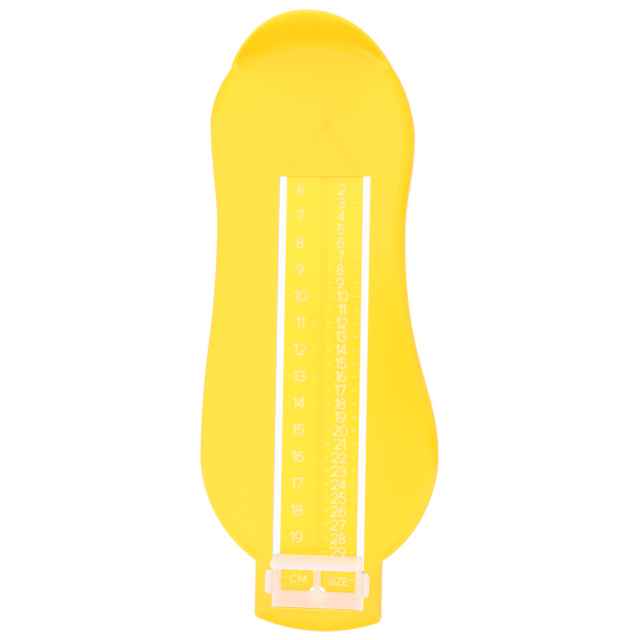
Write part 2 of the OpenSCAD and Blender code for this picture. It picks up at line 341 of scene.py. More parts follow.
def edge_turns(mesh: bpy.types.Mesh) -> tuple[Array, Array]:
    """Angle between the two faces at each edge, and the height of the edge's higher end.

    Each corner of a polygon names one edge, so the corners sorted by edge give the pairs of
    polygons that meet there; the angle is the arc cosine of their normals' product.

    Args:
        mesh: A closed mesh.

    Returns:
        Angles in degrees and heights in millimetres, one for each edge.
    """
    corner_edge = np.empty(len(mesh.loops), dtype=np.int32)
    mesh.loops.foreach_get("edge_index", corner_edge)
    totals = np.empty(len(mesh.polygons), dtype=np.int32)
    mesh.polygons.foreach_get("loop_total", totals)
    normals = np.empty(3 * len(mesh.polygons))
    mesh.polygons.foreach_get("normal", normals)
    corner_face = np.repeat(np.arange(len(totals)), totals)
    order = np.argsort(corner_edge, kind="stable")
    edges, first, count = np.unique(corner_edge[order], return_index=True, return_counts=True)
    paired = count == 2
    face = corner_face[order]
    normals = normals.reshape(-1, 3)
    cosine = np.einsum("ij,ij->i", normals[face[first[paired]]], normals[face[first[paired] + 1]])
    turns = np.zeros(len(mesh.edges))
    turns[edges[paired]] = np.degrees(np.arccos(np.clip(cosine, -1, 1)))
    ends = np.empty(2 * len(mesh.edges), dtype=np.int32)
    mesh.edges.foreach_get("vertices", ends)
    places = np.empty(3 * len(mesh.vertices))
    mesh.vertices.foreach_get("co", places)
    heights = places.reshape(-1, 3)[ends.reshape(-1, 2), 2].max(axis=1) / MM
    return turns, heights


def soften(piece: Piece, radius: float, sharper: float, ceiling: float,
           segments: int = 3) -> None:
    """Rounds the sharp edges of a moulding, as its tool does, and smooths its shading.

    Args:
        piece: The solid.
        radius: Radius of the rounding in millimetres.
        sharper: Only edges that turn by more than this many degrees are rounded.
        ceiling: Only edges up to this height in millimetres are rounded.
        segments: Stretches across the rounding.
    """
    turns, heights = edge_turns(piece.data)
    weight = piece.data.attributes.new("bevel_weight_edge", "FLOAT", "EDGE")
    weight.data.foreach_set("value", ((turns > sharper) & (heights < ceiling)).astype(np.float32))
    step = piece.modifiers.new("soften", "BEVEL")
    step.limit_method = "WEIGHT"
    step.width = radius * MM
    step.segments = segments
    step.use_clamp_overlap = False
    step.miter_outer = "MITER_ARC"
    settle(piece)
    smooth(piece)


def paint(piece: Piece, material: bpy.types.Material) -> None:
    """Gives a piece one material and no other."""
    piece.data.materials.clear()
    piece.data.materials.append(material)


def smooth(piece: Piece, sharp_from: float = 32.0) -> None:
    """Shades a piece smooth below an angle, with large faces kept flat at their edges.

    Args:
        piece: The piece.
        sharp_from: Angle in degrees from which an edge stays sharp.
    """
    mesh = piece.data
    mesh.polygons.foreach_set("use_smooth", np.ones(len(mesh.polygons), dtype=bool))
    mesh.set_sharp_from_angle(angle=math.radians(sharp_from))
    step = piece.modifiers.new("flat faces", "WEIGHTED_NORMAL")
    step.mode = "FACE_AREA"
    step.weight = 100
    step.keep_sharp = True


# ---------------------------------------------------------------------------------------------
# Finishes
# ---------------------------------------------------------------------------------------------


def linear(red: float, green: float, blue: float) -> Color:
    """A colour written as 0 to 255 screen values, in the linear values that shaders take."""
    screen = np.array([red, green, blue]) / 255
    light = np.where(screen <= 0.04045, screen / 12.92, ((screen + 0.055) / 1.055) ** 2.4)
    return (*light.tolist(), 1.0)


class Nodes:
    """Short-hand for building one node tree."""

    def __init__(self, tree: bpy.types.NodeTree) -> None:
        """Starts from an empty tree.

        Args:
            tree: The tree to fill.
        """
        self.tree = tree
        tree.nodes.clear()

    def add(self, kind: str, settings: dict | None = None, **inputs: object) -> bpy.types.Node:
        """Adds a node, sets its properties and fills or links its inputs.

        Args:
            kind: Blender's node type.
            settings: Properties of the node itself.
            inputs: Values or output sockets by input name, with _ for a space; in0, in1 and so
                on name an input by its place.

        Returns:
            The node.
        """
        node = self.tree.nodes.new(kind)
        for name, value in (settings or {}).items():
            setattr(node, name, value)
        for name, value in inputs.items():
            place = int(name[2:]) if name[:2] == "in" and name[2:].isdigit() else name.replace("_", " ")
            socket = node.inputs[place]
            if isinstance(value, Socket):
                self.tree.links.new(value, socket)
            else:
                socket.default_value = value
        return node

    def math(self, operation: str, *values: object, clamp: bool = False) -> Socket:
        """One arithmetic step on numbers or sockets."""
        inputs = {f"in{k}": value for k, value in enumerate(values)}
        return self.add("ShaderNodeMath", {"operation": operation, "use_clamp": clamp}, **inputs).outputs[0]

    def fade(self, value: object, start: float, end: float) -> Socket:
        """A smooth step from 0 at start to 1 at end; start may be the larger.

        Args:
            value: What the step follows.
            start: Value at which it is 0.
            end: Value at which it is 1.

        Returns:
            The step.
        """
        low, high = (start, end) if start < end else (end, start)
        to = (0.0, 1.0) if start < end else (1.0, 0.0)
        node = self.add(
            "ShaderNodeMapRange", {"interpolation_type": "SMOOTHSTEP"},
            Value=value, From_Min=low, From_Max=high, To_Min=to[0], To_Max=to[1],
        )
        return node.outputs["Result"]

    def share(self, value: object, mask: Triple) -> Socket:
        """A fade between a mask's first two numbers, times its third."""
        return self.product(self.fade(value, *mask[:2]), mask[2])

    def band(self, value: object, rise: Pair, fall: Pair) -> Socket:
        """1 between two soft borders, each given as where its fade is 0 and where it is 1."""
        return self.product(self.fade(value, *rise), self.fade(value, *fall))

    def product(self, *values: object) -> Socket:
        """Multiplies numbers or sockets."""
        return reduce(lambda one, two: self.math("MULTIPLY", one, two), values)

    def most(self, *values: object) -> Socket:
        """The largest of numbers or sockets."""
        return reduce(lambda one, two: self.math("MAXIMUM", one, two), values)

    def rest(self, value: object) -> Socket:
        """What a share leaves of 1."""
        return self.math("SUBTRACT", 1.0, value)

    def size(self, value: object) -> Socket:
        """A number without its sign."""
        return self.math("ABSOLUTE", value)

    def reach(self, aside: object, along: object, middle: Pair) -> Socket:
        """Distance of a point from a middle: the root of its two offsets' squares added up."""
        legs = [self.math("SUBTRACT", way, at) for way, at in zip((aside, along), middle)]
        return self.math("SQRT", self.math("ADD", *(self.product(leg, leg) for leg in legs)))

    def parts(self, vector: Socket) -> bpy.types.NodeOutputs:
        """The X, Y and Z of a vector."""
        return self.add("ShaderNodeSeparateXYZ", Vector=vector).outputs

    def facing(self) -> Socket:
        """How level a face lies: 1 where it faces straight up or down, 0 where it is upright."""
        return self.size(self.parts(self.add("ShaderNodeNewGeometry").outputs["Normal"])[2])

    def blend(self, factor: object, first: object, second: object) -> Socket:
        """Mixes two colours."""
        return self.add("ShaderNodeMix", {"data_type": "RGBA"}, in0=factor, in6=first, in7=second).outputs[2]

    def blend_value(self, factor: object, first: object, second: object) -> Socket:
        """Mixes two numbers."""
        return self.add("ShaderNodeMix", {"data_type": "FLOAT"}, in0=factor, in2=first, in3=second).outputs[0]


def mould_texture() -> bpy.types.ShaderNodeTree:
    """The skin that a spark-eroded mould leaves, shared by every moulded or printed surface.

    Fine grain is a noise about as coarse as the erosion pits, and Cloud is a slow noise, drawn
    out along the ruler, for the unevenness of the melt.

    Returns:
        A group with inputs Place, Pit and Drift (sizes in metres) and outputs Grain and Cloud.
    """
    group = bpy.data.node_groups.new("mould texture", "ShaderNodeTree")
    for name, kind in (("Place", "NodeSocketVector"), ("Pit", "NodeSocketFloat"), ("Drift", "NodeSocketFloat")):
        group.interface.new_socket(name, in_out="INPUT", socket_type=kind)
    for name in ("Grain", "Cloud"):
        group.interface.new_socket(name, in_out="OUTPUT", socket_type="NodeSocketFloat")
    nodes = Nodes(group)
    given = nodes.add("NodeGroupInput").outputs
    fine = nodes.add(
        "ShaderNodeTexNoise", Vector=given["Place"], Scale=nodes.math("DIVIDE", 1.0, given["Pit"]),
        Detail=2.0, Roughness=0.6,
    )
    drawn = nodes.add("ShaderNodeMapping", Vector=given["Place"], Scale=(1.0, 0.45, 1.0))
    slow = nodes.add(
        "ShaderNodeTexNoise", Vector=drawn.outputs[0], Scale=nodes.math("DIVIDE", 1.0, given["Drift"]),
        Detail=3.0, Roughness=0.5,
    )
    nodes.add("NodeGroupOutput", Grain=fine.outputs[0], Cloud=slow.outputs[0])
    return group


@dataclass(frozen=True)
class Finish:
    """What every finish of the gauge shares.

    Attributes:
        name: Name of the material.
        roughness: Middle roughness of the surface.
        pit: Size of the mould's pits in metres.
        drift: Size of the slow unevenness in metres.
        depth: Depth of the pits in metres.
        uneven: How far the roughness varies with the slow unevenness.
    """

    name: str
    roughness: float
    pit: float
    drift: float
    depth: float
    uneven: float = field(default=0.08, kw_only=True)

    def start(self, texture: bpy.types.ShaderNodeTree) -> tuple[bpy.types.Material, Nodes, dict]:
        """Makes the material with its shared skin.

        Args:
            texture: The mould texture group.

        Returns:
            The material, its nodes, and the sockets place, cloud, roughness and normal.
        """
        material = bpy.data.materials.new(self.name)
        material.use_nodes = True
        nodes = Nodes(material.node_tree)
        place = nodes.add("ShaderNodeTexCoord").outputs["Object"]
        skin = nodes.add(
            "ShaderNodeGroup", {"node_tree": texture}, Place=place, Pit=self.pit, Drift=self.drift
        ).outputs
        bump = nodes.add("ShaderNodeBump", Height=skin["Grain"], Distance=self.depth, Strength=1.0)
        rough = nodes.math("ADD", self.roughness - self.uneven / 2, nodes.product(skin["Cloud"], self.uneven))
        sockets = {"place": place, "cloud": skin["Cloud"], "roughness": rough, "normal": bump.outputs[0]}
        return material, nodes, sockets

    def finish(self, nodes: Nodes, sockets: dict, color: object, **fixed: object) -> None:
        """Closes the material with its shader.

        Args:
            nodes: The material's nodes.
            sockets: What `start` returned.
            color: Base colour or the socket that gives it.
            fixed: Further inputs of the shader.
        """
        shader = nodes.add(
            "ShaderNodeBsdfPrincipled", Base_Color=color, Roughness=sockets["roughness"],
            Normal=sockets["normal"], **fixed,
        )
        nodes.add("ShaderNodeOutputMaterial", Surface=shader.outputs[0])


@dataclass(frozen=True)
class BoardPlastic(Finish):
    """Yellow polypropylene, thin enough for the ribs below to show through as faint bands.

    Distances run along the ruler from the scale's origin, in metres. A pair, and the first two
    of three numbers, are where a mask is 0 and where it is 1; the third is the mask's share.

    Attributes:
        yellow: Colour of the plate.
        deep: Colour where the plastic is thicker, such as over a rib; it is also painted shade on the rolled rim and
            the heel wall's middle, and colours the darker tab end.
        pale: Colour of the sunk strip, which is thinner.
        paler: Colour of the strip at its heel end.
        near_wall: Painted light beside the heel wall: the yellow light that the wall reflects and bounces onto the
            plate.
        crest: Painted light on the heel wall's thin top: a lighter yellow for the light that comes through it.
        lip: Painted light on the slots' thin lips: a pale colour for the light from below that comes through them.
        near: Distances of the painted wall light beside the wall.
        level: How level a face lies that takes this colour.
        crest_from: Heights of the crest's painted light.
        wall_low: Heights at which the painted shade on the heel wall's middle starts.
        wall_high: Heights at which it ends.
        rolled: How level the rolled rim's faces lie that take painted shade.
        rolled_side: The same where the painted shade ends on the rim's outside.
        rim_share: Share of the deep colour that is painted as shade on the rim and the wall's middle.
        tab: Distances and share of the darker colour towards the tab end.
        melt: Unevenness of the melt that takes some of the deep colour.
        raised: Heights just over the board's top at which the rim's painted shade ends.
        strip_half: Half width of the strip.
        strip_from: Distance of the strip's heel end.
        strip_side: Places aside at which the strip's colour ends.
        strip_start: Distances at which it starts.
        pale_end: Distances between which its paler end fades.
        slots_side: Places aside at which the slots end.
        slots_start: Distances at which they start.
        slots_end: Distances at which they end.
        lip_side: Places aside between which the strip's side of a slot changes to its lip.
        lip_facing: How level a lip lies.
        lip_share: Share of the lip's painted light on the strip's side of a slot.
        end_start: Distances at which the painted light at the strip's tab end starts, which lightens the shade in the
            gap there.
        end_stop: Distances at which it ends.
        end_side: Places aside at which it ends.
        end_share: Share of the lip's painted light there.
        spine_half: Half width of the rib under the strip.
        spine_share: Share of the deep colour over it.
        flow_share: The same over the two flow ribs.
        gate: Distance, soft radius and share of the moulding gate's mark.
        pin: Place aside, distance, soft radius and share of the two ejector pins' marks.
    """

    yellow: Color = linear(254, 205, 27)
    deep: Color = linear(254, 189, 16)
    pale: Color = linear(254, 209, 10)
    paler: Color = linear(254, 213, 34)
    near_wall: Color = linear(254, 210, 12)
    crest: Color = linear(254, 219, 62)
    lip: Color = linear(255, 243, 140)
    near: Pair = (0.036, 0.004)
    level: Pair = (0.3, 0.7)
    crest_from: Pair = (0.0175, 0.0268)
    wall_low: Pair = (0.0074, 0.0105)
    wall_high: Pair = (0.0200, 0.0115)
    rolled: Triple = (0.999, 0.95, 0.35)
    rolled_side: Pair = (0.3, 0.8)
    rim_share: float = 0.32
    tab: Triple = (0.186, 0.216, 0.6)
    melt: Triple = (0.35, 0.75, 0.08)
    raised: Pair = (0.0073, 0.007)
    strip_half: float = 0.0144
    strip_from: float = 0.055
    strip_side: Pair = (0.0154, 0.0144)
    strip_start: Pair = (0.0548, 0.055)
    pale_end: Pair = (0.060, 0.115)
    slots_side: Pair = (0.0183, 0.0180)
    slots_start: Pair = (0.0540, 0.0543)
    slots_end: Pair = (0.2168, 0.2165)
    lip_side: Pair = (0.0138, 0.0141)
    lip_facing: Pair = (0.9, 0.5)
    lip_share: float = 0.3
    end_start: Pair = (0.2152, 0.2156)
    end_stop: Pair = (0.2166, 0.2162)
    end_side: Pair = (0.0145, 0.0144)
    end_share: float = 0.7
    spine_half: float = 0.0009
    spine_share: float = 0.25
    flow_share: float = 0.17
    gate: Triple = (0.0359, 0.0034, 0.75)
    pin: tuple[float, ...] = (0.0122, 0.0497, 0.0024, 0.3)

    def rib_mask(self, nodes: Nodes, off_axis: Socket, along: Socket) -> Socket:
        """Where a rib, the gate or a pin marks the plate.

        The rib along the strip is |x| < half width past the strip's start. The two flow ribs
        run from the gate to the strip's corners, so a point's distance from one of them is
        | |x| cos a - (along - gate) sin a |, with a the angle that the rib makes with Y. The
        gate and the pins are round marks, 1 at their middle and 0 from their radius on.

        Args:
            nodes: The material's nodes.
            off_axis: Distance from the ruler's axis.
            along: Distance from the scale's origin along the ruler.

        Returns:
            A mask from 0 to 1.
        """
        blur = self.spine_half
        gate_at = self.gate[0]
        spine = nodes.product(nodes.fade(off_axis, self.spine_half + blur, self.spine_half),
                              nodes.fade(along, self.strip_from - blur, self.strip_from + blur), self.spine_share)
        lean = math.atan2(self.strip_half - blur, self.strip_from - gate_at)
        from_gate = nodes.math("SUBTRACT", along, gate_at)
        aside = nodes.math("SUBTRACT", nodes.product(off_axis, math.cos(lean)),
                           nodes.product(from_gate, math.sin(lean)))
        flow = nodes.product(nodes.fade(nodes.size(aside), 4 * blur, 0.0), nodes.fade(from_gate, -blur, blur),
                             nodes.fade(along, self.strip_from, self.strip_from - 3 * blur), self.flow_share)
        marks = [nodes.share(nodes.reach(off_axis, along, place), (radius, radius / 10, share))
                 for *place, radius, share in ((0.0, *self.gate), self.pin)]
        return nodes.most(spine, flow, *marks)

    def build(self, texture: bpy.types.ShaderNodeTree) -> bpy.types.Material:
        """Makes the material.

        Args:
            texture: The mould texture group.

        Returns:
            The material.
        """
        material, nodes, sockets = self.start(texture)
        x, y, height = nodes.parts(sockets["place"])
        off_axis, along = nodes.size(x), nodes.product(y, -1.0)
        facing = nodes.facing()

        strip = nodes.blend(nodes.fade(along, *self.pale_end), self.paler, self.pale)
        on_strip = nodes.product(nodes.fade(off_axis, *self.strip_side), nodes.fade(along, *self.strip_start))
        # Painted light: beside the heel wall the level plate takes the yellow light that the wall reflects and bounces
        # onto it.
        near = nodes.product(nodes.fade(along, *self.near), nodes.fade(facing, *self.level))
        plate = nodes.blend(near, self.yellow, self.near_wall)
        # Painted light: the top of the heel wall is lighter, for the light that comes through its thin crest.
        plate = nodes.blend(nodes.fade(height, *self.crest_from), plate, self.crest)
        plate = nodes.blend(on_strip, plate, strip)

        cut = nodes.product(nodes.fade(off_axis, *self.slots_side), nodes.band(along, self.slots_start, self.slots_end))
        # Painted shade: the heel wall's middle and the leaning faces of the rolled rim, outside the slots, take the
        # darker colour for the light that they miss.
        middle = nodes.band(height, self.wall_low, self.wall_high)
        rim = nodes.product(nodes.share(facing, self.rolled), nodes.fade(facing, *self.rolled_side))
        raised = nodes.most(nodes.fade(height, *self.raised), middle)
        rolled = nodes.product(nodes.most(rim, middle), raised, nodes.rest(cut), self.rim_share)
        # The darker colour is real over the ribs, gate and pins and in the melt's unevenness, painted shade on the rim
        # and the heel wall, and a plain darkening towards the tab end.
        thick = nodes.most(self.rib_mask(nodes, off_axis, along), nodes.share(along, self.tab), rolled)
        thick = nodes.math("ADD", thick, nodes.share(sockets["cloud"], self.melt), clamp=True)

        # Painted light: the slots' lips and the strip's tab end take a pale colour, for light from below that comes
        # through the lips and to lighten the shade in the gap at the tab end.
        beside = nodes.blend_value(nodes.fade(off_axis, *self.lip_side), self.lip_share, 1.0)
        lips = nodes.product(cut, beside, nodes.fade(facing, *self.lip_facing))
        last = nodes.product(nodes.band(along, self.end_start, self.end_stop),
                             nodes.fade(off_axis, *self.end_side), self.end_share)
        self.finish(nodes, sockets, nodes.blend(nodes.most(lips, last), nodes.blend(thick, plate, self.deep), self.lip))
        return material


@dataclass(frozen=True)
class FrostedPlastic(Finish):
    """Natural polypropylene with a milky skin; the yellow light that the board below throws on it is painted into its
    colour.

    Attributes:
        milky: Colour of the plastic well above the board.
        tinged: Painted light: colour close to the board, for the yellow light that the board throws up on the plastic.
        upright: Colour of upright faces, painted lighter than the level ones for the light that they miss.
        backed: The same painted light on the bar at the tab end, close to the board.
        lit: Painted light over the hanging hole, where white light comes up through it.
        tinge: Heights at which the painted light from the board starts to fade and is gone, in metres.
        ears_from: Distances from the ruler's axis at which the ears, which stand clear of the
            board, start and are milky, without the painted light.
        end_bar: Distances from the scale's origin at which the bar at the tab end starts.
        hole: Distance of the hole, and the radii at which its painted light is gone and is full.
        steep: How level a face lies at which it starts to count as upright and is so, and takes the lighter painted
            colour.
        cover: Share of what lies behind one wall that the wall hides, and how far it varies.
        spared: Share of the plastic that shadows and that bounced light don't meet.
        dull: Strength of its mirror reflection.
    """

    milky: Color = linear(226, 214, 216)
    tinged: Color = linear(230, 206, 183)
    upright: Color = linear(242, 239, 236)
    backed: Color = linear(231, 205, 192)
    lit: Color = linear(233, 213, 196)
    tinge: Pair = (0.0095, 0.019)
    ears_from: Pair = (0.0168, 0.0176)
    end_bar: Pair = (0.2094, 0.2097)
    hole: Triple = (0.2108, 0.0050, 0.0010)
    steep: Pair = (0.75, 0.35)
    cover: Pair = (0.92, 0.06)
    spared: Pair = (0.9, 0.65)
    dull: float = 0.3

    def build(self, texture: bpy.types.ShaderNodeTree) -> bpy.types.Material:
        """Makes the material; a wall's far side is left clear, so each wall counts once.

        Args:
            texture: The mould texture group.

        Returns:
            The material.
        """
        material, nodes, sockets = self.start(texture)
        x, y, height = nodes.parts(sockets["place"])
        along = nodes.product(y, -1.0)
        # Painted light: close to the board the frame takes the yellow light that the board throws on it, on the bar at
        # the tab end too, and it is lighter over the hanging hole where white light comes up; higher parts and the ears
        # stay milky.
        low = nodes.blend(nodes.fade(along, *self.end_bar), self.tinged, self.backed)
        low = nodes.blend(nodes.fade(nodes.reach(x, along, (0.0, self.hole[0])), *self.hole[1:]), low, self.lit)
        clear = nodes.most(nodes.fade(height, *self.tinge), nodes.fade(nodes.size(x), *self.ears_from))
        flat = nodes.blend(clear, low, self.milky)
        # Painted light: upright faces are painted lighter than level ones, to lift the shade that they take.
        color = nodes.blend(nodes.fade(nodes.facing(), *self.steep), flat, self.upright)

        cover, change = self.cover
        milk = nodes.math("ADD", cover - change / 2, nodes.product(sockets["cloud"], change))
        path = nodes.add("ShaderNodeLightPath").outputs
        spared = nodes.most(nodes.product(path["Is Shadow Ray"], self.spared[0]),
                            nodes.product(path["Is Diffuse Ray"], self.spared[1]))
        inner = nodes.add("ShaderNodeNewGeometry").outputs["Backfacing"]
        self.finish(nodes, sockets, color, Alpha=nodes.product(milk, nodes.rest(spared), nodes.rest(inner)),
                    Subsurface_Weight=0.35, Subsurface_Scale=0.002, Subsurface_Radius=(1.0, 1.0, 1.0),
                    Sheen_Weight=1.0, Sheen_Roughness=0.5, Sheen_Tint=(1.0, 0.94, 1.0, 1.0),
                    Specular_IOR_Level=self.dull)
        return material


@dataclass(frozen=True)
class PadPrint(Finish):
    """White ink from a printing pad: a thin even film, a little starved in places.

    Attributes:
        white: Colour of the ink.
        starved: Colour where the film is thin.
        faint: Colour of the graduations, whose thin lines take less ink, on the arch side.
        fainter: The same on the outer side.
        starving: Unevenness that starves the film, and the share this takes.
        near: Distances from the ruler's axis at which the figures start.
        far: Distances at which they end.
        middle: Places aside between which the two columns' inks change over.
    """

    white: Color = linear(255, 223, 158)
    starved: Color = linear(255, 221, 138)
    faint: Color = linear(255, 224, 128)
    fainter: Color = linear(255, 221, 104)
    starving: Triple = (0.45, 0.8, 0.6)
    near: Pair = (0.0036, 0.0038)
    far: Pair = (0.0115, 0.0113)
    middle: Pair = (0.0005, -0.0005)

    def build(self, texture: bpy.types.ShaderNodeTree) -> bpy.types.Material:
        """Makes the material.

        Args:
            texture: The mould texture group.

        Returns:
            The material.
        """
        material, nodes, sockets = self.start(texture)
        x = nodes.parts(sockets["place"])[0]
        line = nodes.blend(nodes.fade(x, *self.middle), self.faint, self.fainter)
        figure = nodes.blend(nodes.share(sockets["cloud"], self.starving), self.white, self.starved)
        self.finish(nodes, sockets, nodes.blend(nodes.band(nodes.size(x), self.near, self.far), line, figure))
        return material


# ---------------------------------------------------------------------------------------------
# The board
# ---------------------------------------------------------------------------------------------


@dataclass(frozen=True)
class FootSide:
    """One side of the foot outline.

    Attributes:
        side: -1 for the outer side, 1 for the arch side.
        heel: Reach and distance of the heel's widest place.
        waist: Reach and distance of the waist.
        ball: Reach and distance of the ball of the foot.
        root: Distance of the toe curve's end at the tab.
        pull: How far each curve pulls along its ends' directions: heel top, heel side, waist
            (both ends), ball from the waist (both ends), ball to the toes, toes to the tab.
    """

    side: int
    heel: Pair
    waist: Pair
    ball: Pair
    root: float
    pull: tuple[float, ...]


CURVE_STEPS = (72, 24, 40, 44, 6, 4, 8)
TIP_STEPS = 10


@dataclass
class FootBoard:
    """The yellow moulding: one section swept round a foot outline, with its cuts and ribs.

    Attributes:
        outer: The outer side of the outline.
        arch: The arch side.
        heel_top: The outline's topmost point.
        tab_half: Half of the tab's width.
        tab_corner: Distance of the tab's corners.
        tab_tip: Distance of the tab's tip.
        tab_radius: Radius of the tab's corners.
        root_blend: Reach of the small curve where the toe curve meets the tab.
        toe_angle: Angle at which the toe curve meets the tab, in degrees.
        top: Height of the board's top.
        plate: Thickness of the plate.
        rim: Thickness of the rim.
        edge: Reach and height of the rolled edge.
        inner_bevel: Bevel between rim and plate.
        wall_height: Height of the heel wall over the board.
        wall: Thickness of the wall at its top.
        lean: Outward lean of the wall for each millimetre of height.
        sweep: Sweep of the wall to each side, in degrees.
        cove: Reach of the hollow curve at the wall's foot.
        strip_half: Half width of the sunk ruler strip.
        strip_drop: Depth of the strip.
        slot: Width of a slot.
        slot_from: Distance of the slots' heel ends.
        slot_to: Distance of the slots' tab ends.
        slot_radius: Corner radius of a slot.
        hang: Distance and radius of the hanging hole.
        rib: Height of the ribs under the plate.
        spine: Width of the rib along the strip.
        flow: Width of the flow ribs.
        gate_at: Distance of the moulding gate.
        gate: Radius of the gate's button.
        softening: Radius of the small edges.
    """

    outer: FootSide = FootSide(-1, (44.6, 34.5), (41.1, 74.0), (45.8, 159.9), 199.6,
                               (0.66, 0.39, 0.22, 0.50, 0.47, 0.21, 0.47))
    arch: FootSide = FootSide(1, (33.4, 40.7), (30.4, 76.0), (44.0, 159.4), 198.1,
                              (0.80, 0.26, 0.40, 0.57, 0.30, 0.27, 0.38))
    heel_top: Pair = (-6.0, 2.0)
    tab_half: float = 23.75
    tab_corner: float = 220.4
    tab_tip: float = 224.9
    tab_radius: float = 1.3
    root_blend: float = 0.9
    toe_angle: float = 35.0
    top: float = 7.0
    plate: float = 2.0
    rim: float = 2.0
    edge: Pair = (4.5, 2.4)
    inner_bevel: float = 0.5
    wall_height: float = 19.2
    wall: float = 2.0
    lean: float = 0.035
    sweep: float = 53.0
    cove: float = 7.0
    strip_half: float = 14.4
    strip_drop: float = 0.8
    slot: float = 2.75
    slot_from: float = 55.0
    slot_to: float = 216.2
    slot_radius: float = 0.5
    hang: Pair = (211.3, 3.5)
    rib: float = 1.2
    spine: float = 1.8
    flow: float = 1.2
    gate_at: float = 35.0
    gate: float = 1.5
    softening: float = 0.18
    piece: Piece | None = field(default=None, init=False)

    def tip_arc(self, side: int, angle: Array) -> Array:
        """Points of the tab's tip, an arc through both corners and the tip's middle.

        Args:
            side: Side of the ruler, -1 or 1.
            angle: Angles in radians from the tip's middle.

        Returns:
            The points.
        """
        bulge = self.tab_tip - self.tab_corner
        radius = (self.tab_half**2 + bulge**2) / (2 * bulge)
        return np.stack([side * radius * np.sin(angle), radius * (1 - np.cos(angle)) - self.tab_tip], axis=-1)

    def tip_half(self) -> float:
        """Angle from the tip's middle to where a corner's rounding takes over."""
        bulge = self.tab_tip - self.tab_corner
        return math.asin((self.tab_half - self.tab_radius) * 2 * bulge / (self.tab_half**2 + bulge**2))

    def side_points(self, side: FootSide) -> tuple[Array, Array]:
        """One side of the outline, from the heel's top to the tab's tip.

        Cubic curves join heel top, heel, waist, ball and tab; each leaves and arrives along
        the outline's direction there. A small curve eases the inner corner at the tab, and the
        tab's tip is an arc through both corners and the tip.

        Args:
            side: The sizes of that side.

        Returns:
            n x 2 points without the heel's top itself, and whether each lies on the tab's
            rounded corner.
        """
        top = np.array(self.heel_top)
        heel, waist, ball = (np.array([side.side * reach, -at]) for reach, at in (side.heel, side.waist, side.ball))
        root = np.array([side.side * self.tab_half, -side.root])
        along = np.array([0.0, 1.0])
        pull = side.pull
        toe_span = np.linalg.norm(ball - root)
        toe_way = np.array([-side.side * math.cos(math.radians(self.toe_angle)),
                            -math.sin(math.radians(self.toe_angle))])
        eased = root - toe_way * self.root_blend
        corner = np.array([side.side * self.tab_half, self.tab_radius - self.tab_corner])
        tip_half = self.tip_half()
        tip_way = np.array([side.side * math.cos(tip_half), math.sin(tip_half)])
        hand_over = self.tip_arc(side.side, np.array(tip_half))
        inner_pull = self.root_blend * 0.55
        corner_pull = self.tab_radius * 0.6
        tab_from = root - along * self.root_blend
        curves = [
            (top, top + [(heel[0] - top[0]) * pull[0], 0.0], heel + along * (top[1] - heel[1]) * pull[1], heel),
            (heel, heel - along * (heel[1] - waist[1]) * pull[2],
             waist + along * (heel[1] - waist[1]) * pull[2], waist),
            (waist, waist - along * (waist[1] - ball[1]) * pull[3],
             ball + along * (waist[1] - ball[1]) * pull[4], ball),
            (ball, ball - along * toe_span * pull[5], eased - toe_way * toe_span * pull[6], eased),
            (eased, eased + toe_way * inner_pull, root - along * (self.root_blend - inner_pull), tab_from),
            (tab_from, root - along * 5.0, corner + along * 5.0, corner),
            (corner, corner - along * corner_pull, hand_over + tip_way * corner_pull, hand_over),
        ]
        runs = [bezier(np.array(controls), steps) for controls, steps in zip(curves, CURVE_STEPS)]
        runs.append(self.tip_arc(side.side, tip_half * (1 - np.arange(1, TIP_STEPS + 1) / TIP_STEPS)))
        size = sum(len(run) for run in runs)
        place = np.arange(size) - (size - len(runs[-1]))
        return np.concatenate(runs), (place >= -len(runs[-2]) - 1) & (place < 0)

    def outline(self) -> tuple[Array, Array]:
        """The whole outline, anticlockwise from the heel's top, and where its corners are."""
        (outer, outer_corner), (arch, arch_corner) = self.side_points(self.outer), self.side_points(self.arch)
        points = np.concatenate([[self.heel_top], outer, arch[-2::-1]])
        return points, np.concatenate([[False], outer_corner, arch_corner[-2::-1]])

    def inward_moves(self, outline: Array, corners: Array) -> Array:
        """Where each outline point goes as the outline is drawn in by 1.

        On the tab's corners the moves run to one point, farther in than the edge reaches, so
        that the small rounding never folds over itself.

        Args:
            outline: n x 2 points.
            corners: Whether each lies on a rounded corner of the tab.

        Returns:
            n x 2 moves.
        """
        normal = side_normals(outline)
        moves = meet(np.roll(normal, 1, axis=0), normal)
        depth = self.edge[0] + 0.6
        angle = self.tip_half()
        tip = self.tip_arc(1, np.array(angle))
        sharp = tip + np.array([1.0, math.tan(angle)]) * (self.tab_half - tip[0])
        pole = sharp + depth * meet(np.array([-1.0, 0.0]), np.array([-math.sin(angle), math.cos(angle)]))
        poles = np.sign(outline[:, :1]) * [[pole[0], 0.0]] + [[0.0, pole[1]]]
        return np.where(corners[:, None], (poles - outline) / depth, moves)

    def rises(self, outline: Array) -> Array:
        """Height of the heel wall at each outline point.

        The height is the full one times (1 - (angle / sweep) squared) to the power 1.1, with
        the angle seen from the heel's middle, and nothing past the sweep.

        Args:
            outline: n x 2 points.

        Returns:
            n heights.
        """
        middle = (self.heel_top[0], self.wall - (self.outer.heel[0] + self.arch.heel[0]) / 2)
        angle = np.degrees(np.arctan2(outline[:, 0] - middle[0], outline[:, 1] - middle[1]))
        return self.wall_height * np.clip(1 - (angle / self.sweep) ** 2, 0, None) ** 1.1

